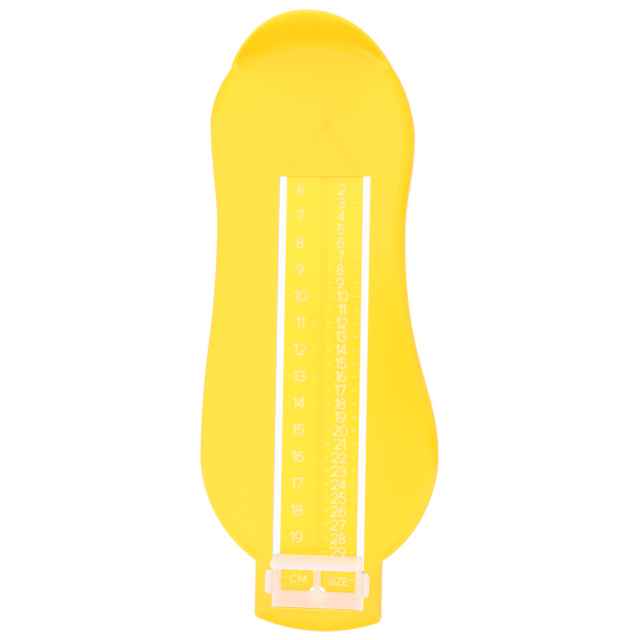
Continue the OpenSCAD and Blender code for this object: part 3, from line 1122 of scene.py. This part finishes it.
    def sections(self, rises: Array, roll_steps: int = 14, cove_steps: int = 22) -> Array:
        """The board's section at every station, as inset from the outline and height.

        The section goes up the inside of the rim, under it, up the outside, round a quarter
        ellipse onto the edge or the wall's crest, and down a cubic curve to the flat top. The
        quarter shrinks from the rolled edge to half the wall's thickness as the wall rises.

        Args:
            rises: Height of the wall at each station.
            roll_steps: Stretches round the quarter ellipse.
            cove_steps: Stretches down the curve.

        Returns:
            stations x points x 2 numbers.
        """
        under = self.top - self.plate
        rim = np.array([[self.rim + self.inner_bevel, under], [self.rim, under - self.inner_bevel],
                        [self.rim, 0.0], [0.0, 0.0]])
        rise = rises[:, None]
        reach, height = self.edge
        roll = np.maximum(self.wall / 2, height - rise)
        roll_in = self.wall / 2 + (reach - self.wall / 2) * np.maximum(0, 1 - rise / height)
        lean = self.lean * rise
        crest_z = self.top + rise
        angle = np.linspace(0, math.pi / 2, roll_steps + 1)[None, :]
        quarter = np.stack([roll_in * (1 - np.cos(angle)) - lean, crest_z - roll + roll * np.sin(angle)], axis=-1)
        grown = np.minimum(1, rises / (2 * height))
        flat = np.full_like(rises, self.top)
        crest = quarter[:, -1]
        foot = np.stack([reach + self.cove * (rises / self.wall_height) ** 0.7, flat], axis=-1)
        crest_pull = crest + np.stack([self.wall * 0.6 * grown, 0 * rises], axis=-1)
        foot_pull = np.stack([reach + (self.wall - 0.1 - reach) * grown, flat], axis=-1)
        curve = bezier(np.stack([crest, crest_pull, foot_pull, foot], axis=1), cove_steps)
        return np.concatenate([np.broadcast_to(rim, (len(rises), *rim.shape)), quarter, curve], axis=1)

    def shell(self) -> Piece:
        """Sweeps the section round the outline and closes it with its two flat faces.

        A section point with inset q at outline point p stands at p + q m, with m the point's
        move inwards.

        Returns:
            The closed shell.
        """
        outline, corners = self.outline()
        moves = self.inward_moves(outline, corners)
        sections = self.sections(self.rises(outline))
        flat = outline[:, None] + sections[:, :, :1] * moves[:, None]
        points = np.concatenate([flat, sections[:, :, 1:]], axis=-1)
        stations, size = points.shape[:2]
        station = np.arange(stations)
        quads = ring_faces(stations, size, closed=True)
        quads = quads[quads[:, 1] > quads[:, 0]][:, ::-1]
        lids = [(station * size)[None, ::-1], (station * size + size - 1)[None, :]]
        shell = put_mesh("foot_board_shell", points.reshape(-1, 3), [quads, *lids])
        weld(shell, 0.004)
        return shell

    def ribs(self) -> list[Piece]:
        """The ribs and the gate's button under the plate, sunk a little into it."""
        under = self.top - self.plate
        low, high = under - self.rib, under + (self.plate - self.strip_drop) / 2
        hang_at, hang_radius = self.hang
        spine = rounded_box((-self.spine / 2, -(hang_at - 2 * hang_radius)), (self.spine / 2, -self.slot_from), 0.3)
        reach = self.strip_half - self.flow
        cross = rounded_box((-reach, -self.slot_from - self.flow / 2), (reach, -self.slot_from + self.flow / 2), 0.3)
        heel, toes = -self.gate_at, -self.slot_from
        right = np.array([[0, heel], [reach - self.flow, toes], [reach, toes], [self.flow, heel]])
        left = (right * [-1, 1])[::-1]
        button = circle((0, -self.gate_at), self.gate)
        return [stack(f"rib_{k}", profile, plain(low, high))
                for k, profile in enumerate((spine, cross, right, left, button))]

    def cuts(self) -> list[Piece]:
        """What is cut out of the board: two slots, the sunk strip and the hanging hole."""
        below, above = -1.0, self.top + 1.0
        inner, outer = self.strip_half, self.strip_half + self.slot
        through = plain(below, above)
        slots = [stack(f"slot_{side}", rounded_box((side * inner, -self.slot_to), (side * outer, -self.slot_from),
                                                   self.slot_radius), through) for side in (-1, 1)]
        half = (inner + outer) / 2
        strip = stack("strip", np.array([[-half, -self.slot_to], [half, -self.slot_to],
                                         [half, -self.slot_from], [-half, -self.slot_from]]),
                      plain(self.top - self.strip_drop, above))
        hang_at, hang_radius = self.hang
        return [*slots, strip, stack("hang_hole", circle((0, -hang_at), hang_radius), through)]

    def build(self, material: bpy.types.Material) -> None:
        """Makes the moulding and puts it in place of its CAD node.

        Args:
            material: The yellow plastic.
        """
        self.piece = self.shell()
        self.piece.name = "foot_board_moulding"
        combine(self.piece, self.ribs(), Cut.JOINED)
        combine(self.piece, self.cuts(), Cut.AWAY)
        soften(self.piece, self.softening, sharper=40.0, ceiling=self.top + 0.05)
        paint(self.piece, material)
        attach(self.piece, BOARD_BODY)
        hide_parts("foot_board")
        report(self.piece, BOARD_BODY)


# ---------------------------------------------------------------------------------------------
# The print
# ---------------------------------------------------------------------------------------------


@dataclass(frozen=True)
class Stroke:
    """One pen stroke of a glyph, in units of the glyph's width and height.

    Attributes:
        points: Corners of a straight stroke, or the start of an arc's tail.
        arcs: Elliptical arcs (centre, radii, first and last angle) that come first.
        closed: Whether the end joins the start.
    """

    points: tuple[Pair, ...] = ()
    arcs: tuple[tuple[Pair, Pair, Pair], ...] = ()
    closed: bool = False

    def path(self) -> Array:
        """The stroke's middle line as n x 2 points, arcs first."""
        runs = [arc(*one, steps=max(4, round(abs(one[2][1] - one[2][0]) / 18))) for one in self.arcs]
        if self.points:
            runs.append(np.array(self.points, dtype=float))
        line = np.concatenate(runs)
        keep = np.r_[True, np.linalg.norm(np.diff(line, axis=0), axis=1) > 1e-6]
        line = line[keep]
        return line[:-1] if self.closed and np.allclose(line[0], line[-1]) else line


@dataclass(frozen=True)
class Glyph:
    """A character: its width in units of a full glyph's, and its strokes.

    A stroke touches only the next two in the list, so that strokes three places apart never
    meet and can share a layer.
    """

    width: float
    strokes: tuple[Stroke, ...]


def line(*points: Pair) -> Stroke:
    """A stroke of straight stretches."""
    return Stroke(points=points)


def curve(*arcs: tuple, tail: tuple = (), closed: bool = False) -> Stroke:
    """A stroke of arcs, with straight stretches after them."""
    return Stroke(points=tail, arcs=arcs, closed=closed)


GLYPHS = {
    "0": Glyph(1.0, (curve(((0.5, 0.64), (0.5, 0.36), (0, 180)), ((0.5, 0.36), (0.5, 0.36), (180, 360)),
                           closed=True),)),
    "1": Glyph(0.34, (line((0.34, 1.0), (0.34, 0.0)), line((0.0, 0.83), (0.34, 1.0)))),
    "2": Glyph(1.0, (curve(((0.5, 0.7), (0.48, 0.3), (168, -32)), tail=((0.02, 0.0),)),
                     line((0.02, 0.0), (1.0, 0.0)))),
    "3": Glyph(1.0, (curve(((0.48, 0.755), (0.43, 0.245), (155, -90))),
                     curve(((0.48, 0.265), (0.5, 0.265), (90, -158))))),
    "4": Glyph(1.0, (line((0.72, 1.0), (0.0, 0.28)), line((0.0, 0.28), (1.0, 0.28)),
                     line((0.72, 1.0), (0.72, 0.0)))),
    "5": Glyph(1.0, (line((0.9, 1.0), (0.16, 1.0)), line((0.16, 1.0), (0.09, 0.55)),
                     curve(((0.48, 0.33), (0.5, 0.33), (140, -155))))),
    "6": Glyph(1.0, (curve(((0.5, 0.32), (0.5, 0.32), (0, 360)), closed=True),
                     curve(((0.64, 0.32), (0.64, 0.68), (180, 76))))),
    "7": Glyph(1.0, (line((0.02, 1.0), (1.0, 1.0)), line((1.0, 1.0), (0.38, 0.0)))),
    "8": Glyph(1.0, (curve(((0.5, 0.755), (0.42, 0.245), (0, 360)), closed=True),
                     curve(((0.5, 0.265), (0.5, 0.265), (0, 360)), closed=True))),
    "9": Glyph(1.0, (curve(((0.5, 0.68), (0.5, 0.32), (0, 360)), closed=True),
                     curve(((0.36, 0.68), (0.64, 0.68), (0, -104))))),
    "C": Glyph(1.0, (curve(((0.54, 0.5), (0.54, 0.5), (48, 312))),)),
    "E": Glyph(0.84, (line((0.0, 1.0), (0.84, 1.0)), line((0.0, 1.0), (0.0, 0.0)),
                      line((0.0, 0.52), (0.76, 0.52)), line((0.0, 0.0), (0.84, 0.0)))),
    "I": Glyph(0.0, (line((0.0, 1.0), (0.0, 0.0)),)),
    "M": Glyph(1.16, (line((0.0, 0.0), (0.0, 1.0)), line((0.0, 1.0), (0.58, 0.2)),
                      line((0.58, 0.2), (1.16, 1.0)), line((1.16, 1.0), (1.16, 0.0)))),
    "S": Glyph(0.92, (curve(((0.46, 0.75), (0.42, 0.25), (30, 270))),
                      curve(((0.46, 0.25), (0.46, 0.25), (90, -150))))),
    "Z": Glyph(0.96, (line((0.02, 1.0), (0.94, 1.0)), line((0.94, 1.0), (0.0, 0.0)),
                      line((0.0, 0.0), (0.96, 0.0)))),
}
LAYERS = 3
END_STEPS = 5


@dataclass(frozen=True)
class Lettering:
    """One size of type.

    Attributes:
        height: Height of a glyph from middle line to middle line.
        width: Width of a full glyph, likewise.
        gap: Clear distance between two glyphs.
        pen: Width of a stroke.
    """

    height: float
    width: float
    gap: float
    pen: float

    def strokes(self, text: str, middle: Pair) -> list[tuple[int, Array, bool]]:
        """Lays a text out about its middle.

        Args:
            text: The characters.
            middle: Where the text's middle lies.

        Returns:
            For each stroke its layer, its middle line in millimetres and whether it is closed.
        """
        glyphs = [GLYPHS[character] for character in text]
        widths = np.array([glyph.width * self.width + self.pen for glyph in glyphs])
        lefts = np.cumsum(widths + self.gap) - widths - self.gap
        start = middle[0] - (widths.sum() + self.gap * (len(glyphs) - 1)) / 2
        scale = np.array([self.width, self.height])
        laid = []
        for glyph, left in zip(glyphs, lefts):
            corner = np.array([start + left + self.pen / 2, middle[1] - self.height / 2])
            laid += [(k % LAYERS, corner + stroke.path() * scale, stroke.closed)
                     for k, stroke in enumerate(glyph.strokes)]
        return laid


def ribbon(path: Array, closed: bool, pen: float, low: float, high: float) -> tuple[Array, Array]:
    """A flat band of ink along a line, with half-round ends.

    At each station the band reaches half the pen's width to both sides, along the normal of the
    line there (the mitre of its two stretches). Past an open end the stations run on by
    r sin a while the half width falls as r cos a, which draws the half-round end.

    Args:
        path: n x 2 points of the middle line.
        closed: Whether the line is a loop.
        pen: Width of the band.
        low: Height of its underside.
        high: Height of its top.

    Returns:
        Vertices and quads of the closed band.
    """
    radius = pen / 2
    if closed:
        ahead = np.roll(path, -1, axis=0) - path
        behind = path - np.roll(path, 1, axis=0)
    else:
        step = np.diff(path, axis=0)
        ahead = np.vstack([step, step[-1:]])
        behind = np.vstack([step[:1], step])
    ahead /= np.linalg.norm(ahead, axis=1, keepdims=True)
    behind /= np.linalg.norm(behind, axis=1, keepdims=True)
    way = (ahead + behind) / (1 + np.sum(ahead * behind, axis=1, keepdims=True))
    half = np.full(len(path), radius)
    if not closed:
        angle = np.linspace(0, math.pi / 2, END_STEPS + 1)[1:-1, None]
        path = np.vstack([path[:1] - radius * np.sin(angle[::-1]) * way[:1], path,
                          path[-1:] + radius * np.sin(angle) * way[-1:]])
        half = np.concatenate([radius * np.cos(angle[::-1, 0]), half, radius * np.cos(angle[:, 0])])
        way = np.vstack([np.repeat(way[:1], len(angle), axis=0), way, np.repeat(way[-1:], len(angle), axis=0)])
    side = np.stack([-way[:, 1], way[:, 0]], axis=1) * half[:, None]
    left, right = path + side, path - side
    stations = len(path)
    points = np.empty((stations, 4, 3))
    points[:, :, :2] = np.stack([left, right, right, left], axis=1)
    points[:, :, 2] = np.array([low, low, high, high])
    quads = ring_faces(stations, 4, closed=closed)
    if not closed:
        last = 4 * (stations - 1)
        quads = np.vstack([quads, [[3, 2, 1, 0]], [[last, last + 1, last + 2, last + 3]]])
    return points.reshape(-1, 3), quads


@dataclass
class RulerPrint:
    """The white print on the sunk strip: the CAD graduations, and numbers beside them.

    Attributes:
        ground: Height of the strip.
        film: Thickness of the ink.
        cm_figures: Type of the centimetre numbers.
        size_figures: Type of the shoe sizes.
        cm_from: Distance of the first centimetre number.
        cm_numbers: First and last centimetre number.
        size_numbers: First and last shoe-size number.
        size_step: Distance from one shoe size to the next.
        cm_middles: Middle of a one-figure and a two-figure centimetre number.
        size_middles: The same for shoe sizes.
        labels: Text, place of its middle and type of the two labels.
    """

    ground: float = 6.2
    film: float = 0.06
    cm_figures: Lettering = Lettering(height=3.66, width=2.5, gap=0.22, pen=0.62)
    size_figures: Lettering = Lettering(height=3.62, width=2.26, gap=0.06, pen=0.62)
    cm_from: float = 60.0
    cm_numbers: tuple[int, int] = (6, 20)
    size_numbers: tuple[int, int] = (2, 30)
    size_step: float = 5.0
    cm_middles: Pair = (-8.9, -8.25)
    size_middles: Pair = (6.5, 7.35)
    labels: tuple[tuple[str, Pair, Lettering], ...] = (
        ("CM", (-7.3, -205.4), Lettering(height=2.72, width=2.15, gap=0.5, pen=0.42)),
        ("SIZE", (7.6, -205.8), Lettering(height=2.72, width=1.95, gap=0.35, pen=0.42)),
    )

    def layout(self) -> list[tuple[int, Array, bool, float]]:
        """Every stroke of the print, with its layer, line, closure and pen."""
        laid = []
        columns = ((self.cm_numbers, 10.0, self.cm_middles, self.cm_figures),
                   (self.size_numbers, self.size_step, self.size_middles, self.size_figures))
        for (first, last), step, middles, figures in columns:
            for number in range(first, last + 1):
                text = str(number)
                middle = (middles[len(text) - 1], -(self.cm_from + (number - first) * step))
                laid += [(*stroke, figures.pen) for stroke in figures.strokes(text, middle)]
        for text, middle, capitals in self.labels:
            laid += [(*stroke, capitals.pen) for stroke in capitals.strokes(text, middle)]
        return laid

    def build(self, material: bpy.types.Material) -> None:
        """Prints the numbers and labels and inks the CAD graduations.

        Args:
            material: The ink.
        """
        laid = self.layout()
        layers = []
        for layer in range(LAYERS):
            bands = [ribbon(path, closed, pen, self.ground, self.ground + self.film)
                     for on, path, closed, pen in laid if on == layer]
            firsts = np.cumsum([0] + [len(points) for points, _ in bands])
            quads = np.vstack([faces + first for (_, faces), first in zip(bands, firsts)])
            layers.append(put_mesh(f"print_{layer}", np.vstack([points for points, _ in bands]), [quads]))
        numbers = layers[0]
        combine(numbers, layers[1:], Cut.JOINED)
        numbers.name = "scale_numbers"
        paint(numbers, material)
        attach(numbers, BOARD_BODY)
        report(numbers, BOARD_BODY)
        for name in ("cm_graduations", "size_graduations"):
            for material_slot in frame["nodes"][name].material_slots:
                material_slot.material = material
            report(frame["nodes"][name], BOARD_BODY)


# ---------------------------------------------------------------------------------------------
# The slider
# ---------------------------------------------------------------------------------------------


@dataclass
class ToeSlider:
    """The frosted moulding: a toe wall on a flat frame, with ears above and hooks below.

    Attributes:
        front: Distance of the toe wall's front from the scale's origin.
        length: Length of the slider along the ruler.
        half: Half width of the frame.
        base: Height of the frame's underside.
        frame: Thickness of the frame.
        wall_top: Height of the toe wall's top.
        wall: Thickness of the toe wall.
        taper: How much the wall narrows to its top at its outer and its arch end.
        wall_radius: Radius of the wall's top corners.
        side_bars: Width of the frame's outer and arch side bars.
        end_bar: Width of the bar at the tab end.
        middle_bar: Width of the bar between the windows.
        gusset: Height of the gussets.
        ear_from: Distance of the ears behind the wall's front.
        ear_length: Length of the ears and legs.
        ear_reach: Reach of the ears beyond the frame.
        ear_radius: Corner radius of the ears.
        ear: Height of the ears' underside and their thickness.
        leg: Thickness of the snap legs.
        catch: Height of the hooks' upper faces.
        hook: Reach and height of the hooks.
        softening: Radius of the small edges.
        wall_softening: Radius of the toe wall's edges.
    """

    front: float = 196.3
    length: float = 19.2
    half: float = 16.6
    base: float = 6.35
    frame: float = 2.0
    wall_top: float = 24.7
    wall: float = 2.5
    taper: Pair = (1.4, 0.3)
    wall_radius: float = 2.6
    side_bars: Pair = (3.0, 2.4)
    end_bar: float = 5.8
    middle_bar: float = 2.4
    gusset: float = 2.5
    ear_from: float = 5.8
    ear_length: float = 8.8
    ear_reach: float = 2.8
    ear_radius: float = 1.4
    ear: Pair = (7.15, 1.5)
    leg: float = 1.5
    catch: float = 4.85
    hook: Pair = (1.3, 1.6)
    softening: float = 0.35
    wall_softening: float = 0.6
    piece: Piece | None = field(default=None, init=False)

    def frame_plate(self) -> Piece:
        """The flat frame with its two windows; its heel end is inside the toe wall."""
        toes, heel = -(self.front + self.length), -(self.front + self.wall / 2)
        top = self.base + self.frame
        plate = stack("slider_frame", rounded_box((-self.half, toes), (self.half, heel), 0.8),
                      blunt(self.base, top, self.softening))
        low, high = toes + self.end_bar, -(self.front + self.wall + 1.0)
        windows = []
        for side, bar in zip((-1, 1), self.side_bars):
            opening = rounded_box((side * self.middle_bar / 2, low), (side * (self.half - bar), high), 0.5)
            windows.append(stack("window", opening, flared(self.base, top, self.softening, past=1.0)))
        combine(plate, windows, Cut.AWAY)
        return plate

    def toe_wall(self) -> Piece:
        """The upright wall: a trapezium with two round corners, as thick as the wall."""
        radius = (self.wall_radius, self.wall_radius)
        ends = []
        for side, taper in zip((-1, 1), self.taper):
            slope = math.degrees(math.atan2(taper, self.wall_top - self.base))
            middle = (self.half - taper - self.wall_radius, self.wall_top - self.wall_radius)
            end = np.concatenate([[[self.half, self.base]], arc(middle, radius, (slope, 90), 10)])
            ends.append((end * [side, 1])[::side])
        return stack("toe_wall", np.concatenate(ends)[::-1, ::-1],
                     blunt(-(self.front + self.wall), -self.front, self.wall_softening), Axis.Y)

    def gusset_web(self, middle: float, width: float, foot_at: float) -> Piece:
        """A web behind the wall that falls to the frame in a straight line.

        Args:
            middle: The web's middle across the ruler.
            width: Its width.
            foot_at: Distance at which it meets the frame.

        Returns:
            The web.
        """
        top = self.base + self.frame
        sunk = top - self.frame / 2
        inside = -(self.front + self.wall / 2)
        profile = np.array([[inside, sunk], [inside, top + self.gusset],
                            [-(self.front + self.wall), top + self.gusset], [-foot_at, top], [-foot_at, sunk]])
        return stack("gusset", profile, blunt(middle - width / 2, middle + width / 2, self.softening), Axis.X)

    def ear_plate(self, side: int) -> Piece:
        """The ear that rides on the board beside the slot; side is -1 or 1."""
        near, far = side * (self.half - self.leg), side * (self.half + self.ear_reach)
        heel = -(self.front + self.ear_from)
        low, thickness = self.ear
        profile = rounded_box((near, heel - self.ear_length), (far, heel), self.ear_radius)
        return stack("ear", profile, blunt(low, low + thickness, self.softening))

    def snap_leg(self, side: int) -> Piece:
        """The springy leg through the slot, with its hook under the board; side is -1 or 1."""
        outer, inner = self.half, self.half - self.leg
        reach, height = self.hook
        top = self.base + self.frame / 2
        profile = np.array([[inner, top], [outer, top], [outer, self.catch], [outer + reach, self.catch],
                            [outer + reach, self.catch - height / 3], [outer, self.catch - height],
                            [inner, self.catch - height]]) * [side, 1]
        heel = -(self.front + self.ear_from)
        turned = profile[:, ::-1]
        outline = rounded(turned if side > 0 else turned[::-1], 0.3)
        return stack("snap_leg", outline, blunt(heel - self.ear_length, heel, 0.2), Axis.Y)

    def build(self, material: bpy.types.Material) -> None:
        """Makes the moulding and puts it in place of its CAD node.

        Args:
            material: The frosted plastic.
        """
        window_end = self.front + self.length - self.end_bar
        ear_end = self.front + self.ear_from + self.ear_length
        middle = self.half - self.leg / 2
        others = [self.toe_wall(), self.gusset_web(0.0, self.middle_bar, window_end)]
        for side in (-1, 1):
            others += [self.gusset_web(side * middle, self.leg, ear_end), self.ear_plate(side), self.snap_leg(side)]
        self.piece = self.frame_plate()
        self.piece.name = "toe_slider_moulding"
        combine(self.piece, others, Cut.JOINED)
        smooth(self.piece)
        paint(self.piece, material)
        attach(self.piece, SLIDER_BODY)
        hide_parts("toe_slider")
        report(self.piece, SLIDER_BODY)


# ---------------------------------------------------------------------------------------------
# The studio
# ---------------------------------------------------------------------------------------------


@dataclass
class Studio:
    """A pale floor, white surroundings, two soft lamps and the camera.

    Attributes:
        floor_half: Half width of the floor in metres.
        floor_z: Height of the floor in millimetres, just under the gauge.
        floor_glow: Share of the floor that a camera sees as plain white.
        surround: Strength of the surroundings on the object.
        lamps: Place, size and power of each lamp; all look at `target`.
        tent: Strength of the white tent overhead, as reflections see it.
        right: Lean to the right at which the tent's dim side starts and is full.
        spread: Lean to the right past which the dim side reaches farther towards the heel.
        dim: Lean along the gauge at which that side starts and is full, and the share it takes.
        gap: Lean from the camera at which its dark gap in that side starts and is full, and the
            share it takes.
        dim_end: Lean along the gauge at which the dim side ends and is still full.
        heel: Lean to the heel at which the tent dims and is dimmest, and the share this takes.
        toes: The same towards the toes, but not far to either side.
        toes_side: Lean to a side from which that doesn't count and up to which it counts in full.
        horizon: Height of a way at which it starts to take more and takes most, and that share.
        low_toes: Lean, height and lean aside at which the tent's low end starts to dim and is
            dimmest.
        low_share: The share that this takes.
        target: What the lamps look at.
        eye: Place of the camera in metres.
        turn: Its three angles in degrees.
        lens: Focal length in millimetres.
        sensor: Width of the sensor in millimetres.
    """

    floor_half: float = 3.0
    floor_z: float = -0.05
    floor_glow: float = 0.97
    surround: float = 0.88
    lamps: tuple[tuple[Triple, float, float], ...] = (
        ((-0.1, -0.98, 0.95), 0.9, 5.6),
        ((-0.1, 0.76, 0.85), 0.9, 3.0),
    )
    tent: float = 1.44
    right: Pair = (-0.115, -0.07)
    spread: float = -0.05
    dim: Triple = (0.115, 0.045, 0.6)
    dim_end: Pair = (-0.24, -0.10)
    gap: Triple = (0.07, 0.04, 0.4)
    heel: Triple = (0.215, 0.262, 0.5)
    toes: Triple = (-0.17, -0.38, 0.55)
    toes_side: Pair = (0.5, 0.3)
    horizon: Triple = (0.55, 0.2, 0.42)
    low_toes: tuple[Pair, ...] = ((-0.15, -0.40), (0.9, 0.65), (0.65, 0.40))
    low_share: float = 0.8
    target: Triple = (0.0, -0.11, 0.0)
    eye: Triple = (0.0560, -0.12176, 0.45117)
    turn: Triple = (1.768, 7.250, 1.043)
    lens: float = 67.5
    sensor: float = 36.0

    def floor(self) -> None:
        """The floor, which the camera sees nearly white and which still takes shadows."""
        square = np.array([[-1, -1], [1, -1], [1, 1], [-1, 1]]) * self.floor_half / MM
        corners = np.hstack([square, np.full((4, 1), self.floor_z)])
        floor = put_mesh("studio_floor", corners, [np.array([[0, 1, 2, 3]])])
        material = bpy.data.materials.new("studio floor")
        material.use_nodes = True
        nodes = Nodes(material.node_tree)
        matt = nodes.add("ShaderNodeBsdfDiffuse", Color=linear(240, 240, 240))
        glow = nodes.add("ShaderNodeEmission", Strength=1.0)
        path = nodes.add("ShaderNodeLightPath").outputs
        seen = nodes.most(path["Is Camera Ray"], path["Is Glossy Ray"], path["Is Transmission Ray"])
        share = nodes.product(seen, self.floor_glow)
        mixed = nodes.add("ShaderNodeMixShader", in0=share, in1=matt.outputs[0], in2=glow.outputs[0])
        nodes.add("ShaderNodeOutputMaterial", Surface=mixed.outputs[0])
        paint(floor, material)

    def surroundings(self) -> None:
        """A white world: plain white to the camera, softer as a light.

        Reflections see a white tent overhead. Its right side is dim next to the camera, with a
        darker gap where the camera hangs, and it dims to both ends of the gauge.
        """
        world = bpy.data.worlds.new("studio")
        world.use_nodes = True
        nodes = Nodes(world.node_tree)
        right, along, up = nodes.parts(nodes.add("ShaderNodeTexCoord").outputs["Generated"])
        aside = nodes.size(right)
        spread = nodes.most(nodes.math("SUBTRACT", right, self.spread), 0.0)
        dim = nodes.product(nodes.share(nodes.math("SUBTRACT", along, spread), self.dim),
                            nodes.fade(along, *self.dim_end))
        gap = nodes.share(nodes.size(along), self.gap)
        beside = nodes.product(nodes.fade(right, *self.right), nodes.math("ADD", dim, gap))
        behind = nodes.product(nodes.math("ADD", nodes.share(up, self.horizon), self.toes[2]),
                               nodes.fade(along, *self.toes[:2]), nodes.fade(aside, *self.toes_side))
        low = [nodes.fade(way, *border) for way, border in zip((along, up, aside), self.low_toes)]
        taken = nodes.most(beside, behind, nodes.share(along, self.heel), nodes.product(*low, self.low_share))
        tent = nodes.product(nodes.rest(taken), self.tent)
        path = nodes.add("ShaderNodeLightPath").outputs
        plain = nodes.most(path["Is Camera Ray"], path["Is Transmission Ray"])
        strength = nodes.blend_value(path["Is Glossy Ray"], nodes.blend_value(plain, self.surround, 1.0), tent)
        light = nodes.add("ShaderNodeBackground", Color=(1.0, 1.0, 1.0, 1.0), Strength=strength)
        nodes.add("ShaderNodeOutputWorld", Surface=light.outputs[0])
        bpy.context.scene.world = world

    def light(self) -> None:
        """The soft lamps, each turned to look at the gauge; reflections see the tent alone."""
        for number, (place, size, power) in enumerate(self.lamps):
            lamp = bpy.data.lights.new(f"lamp_{number}", "AREA")
            lamp.shape = "DISK"
            lamp.size = size
            lamp.energy = power
            holder = bpy.data.objects.new(lamp.name, lamp)
            away = np.array(place) - np.array(self.target)
            flat = math.hypot(away[0], away[1])
            holder.visible_glossy = False
            holder.location = place
            holder.rotation_euler = (math.atan2(flat, away[2]), 0.0, math.atan2(away[0], -away[1]))
            bpy.context.collection.objects.link(holder)

    def camera(self) -> None:
        """The camera at the photograph's place, angle and lens."""
        data = bpy.data.cameras.new("camera")
        data.lens = self.lens
        data.sensor_width = self.sensor
        data.clip_start = 0.01
        camera = bpy.data.objects.new("camera", data)
        camera.location = self.eye
        camera.rotation_euler = tuple(math.radians(angle) for angle in self.turn)
        bpy.context.collection.objects.link(camera)
        bpy.context.scene.camera = camera

    def build(self) -> None:
        """Sets the whole studio up."""
        self.camera()
        self.floor()
        self.surroundings()
        self.light()
        bpy.context.scene.view_settings.view_transform = "Standard"


def report(piece: Piece, body: str) -> None:
    """Says what a finished piece is."""
    LOG.info("%s: %d faces, rides on %s", piece.name, len(piece.data.polygons), body)


def main() -> None:
    """Builds the studio and the gauge."""
    logging.basicConfig(level=logging.INFO, format="%(message)s")
    texture = mould_texture()
    Studio().build()
    FootBoard().build(BoardPlastic("yellow polypropylene", 0.11, 0.00016, 0.03, 0.000002).build(texture))
    RulerPrint().build(PadPrint("white pad print", 0.5, 0.0003, 0.004, 0.000003).build(texture))
    ToeSlider().build(FrostedPlastic("frosted polypropylene", 0.50, 0.0002, 0.01, 0.000008).build(texture))


if __name__ == "__main__":
    main()
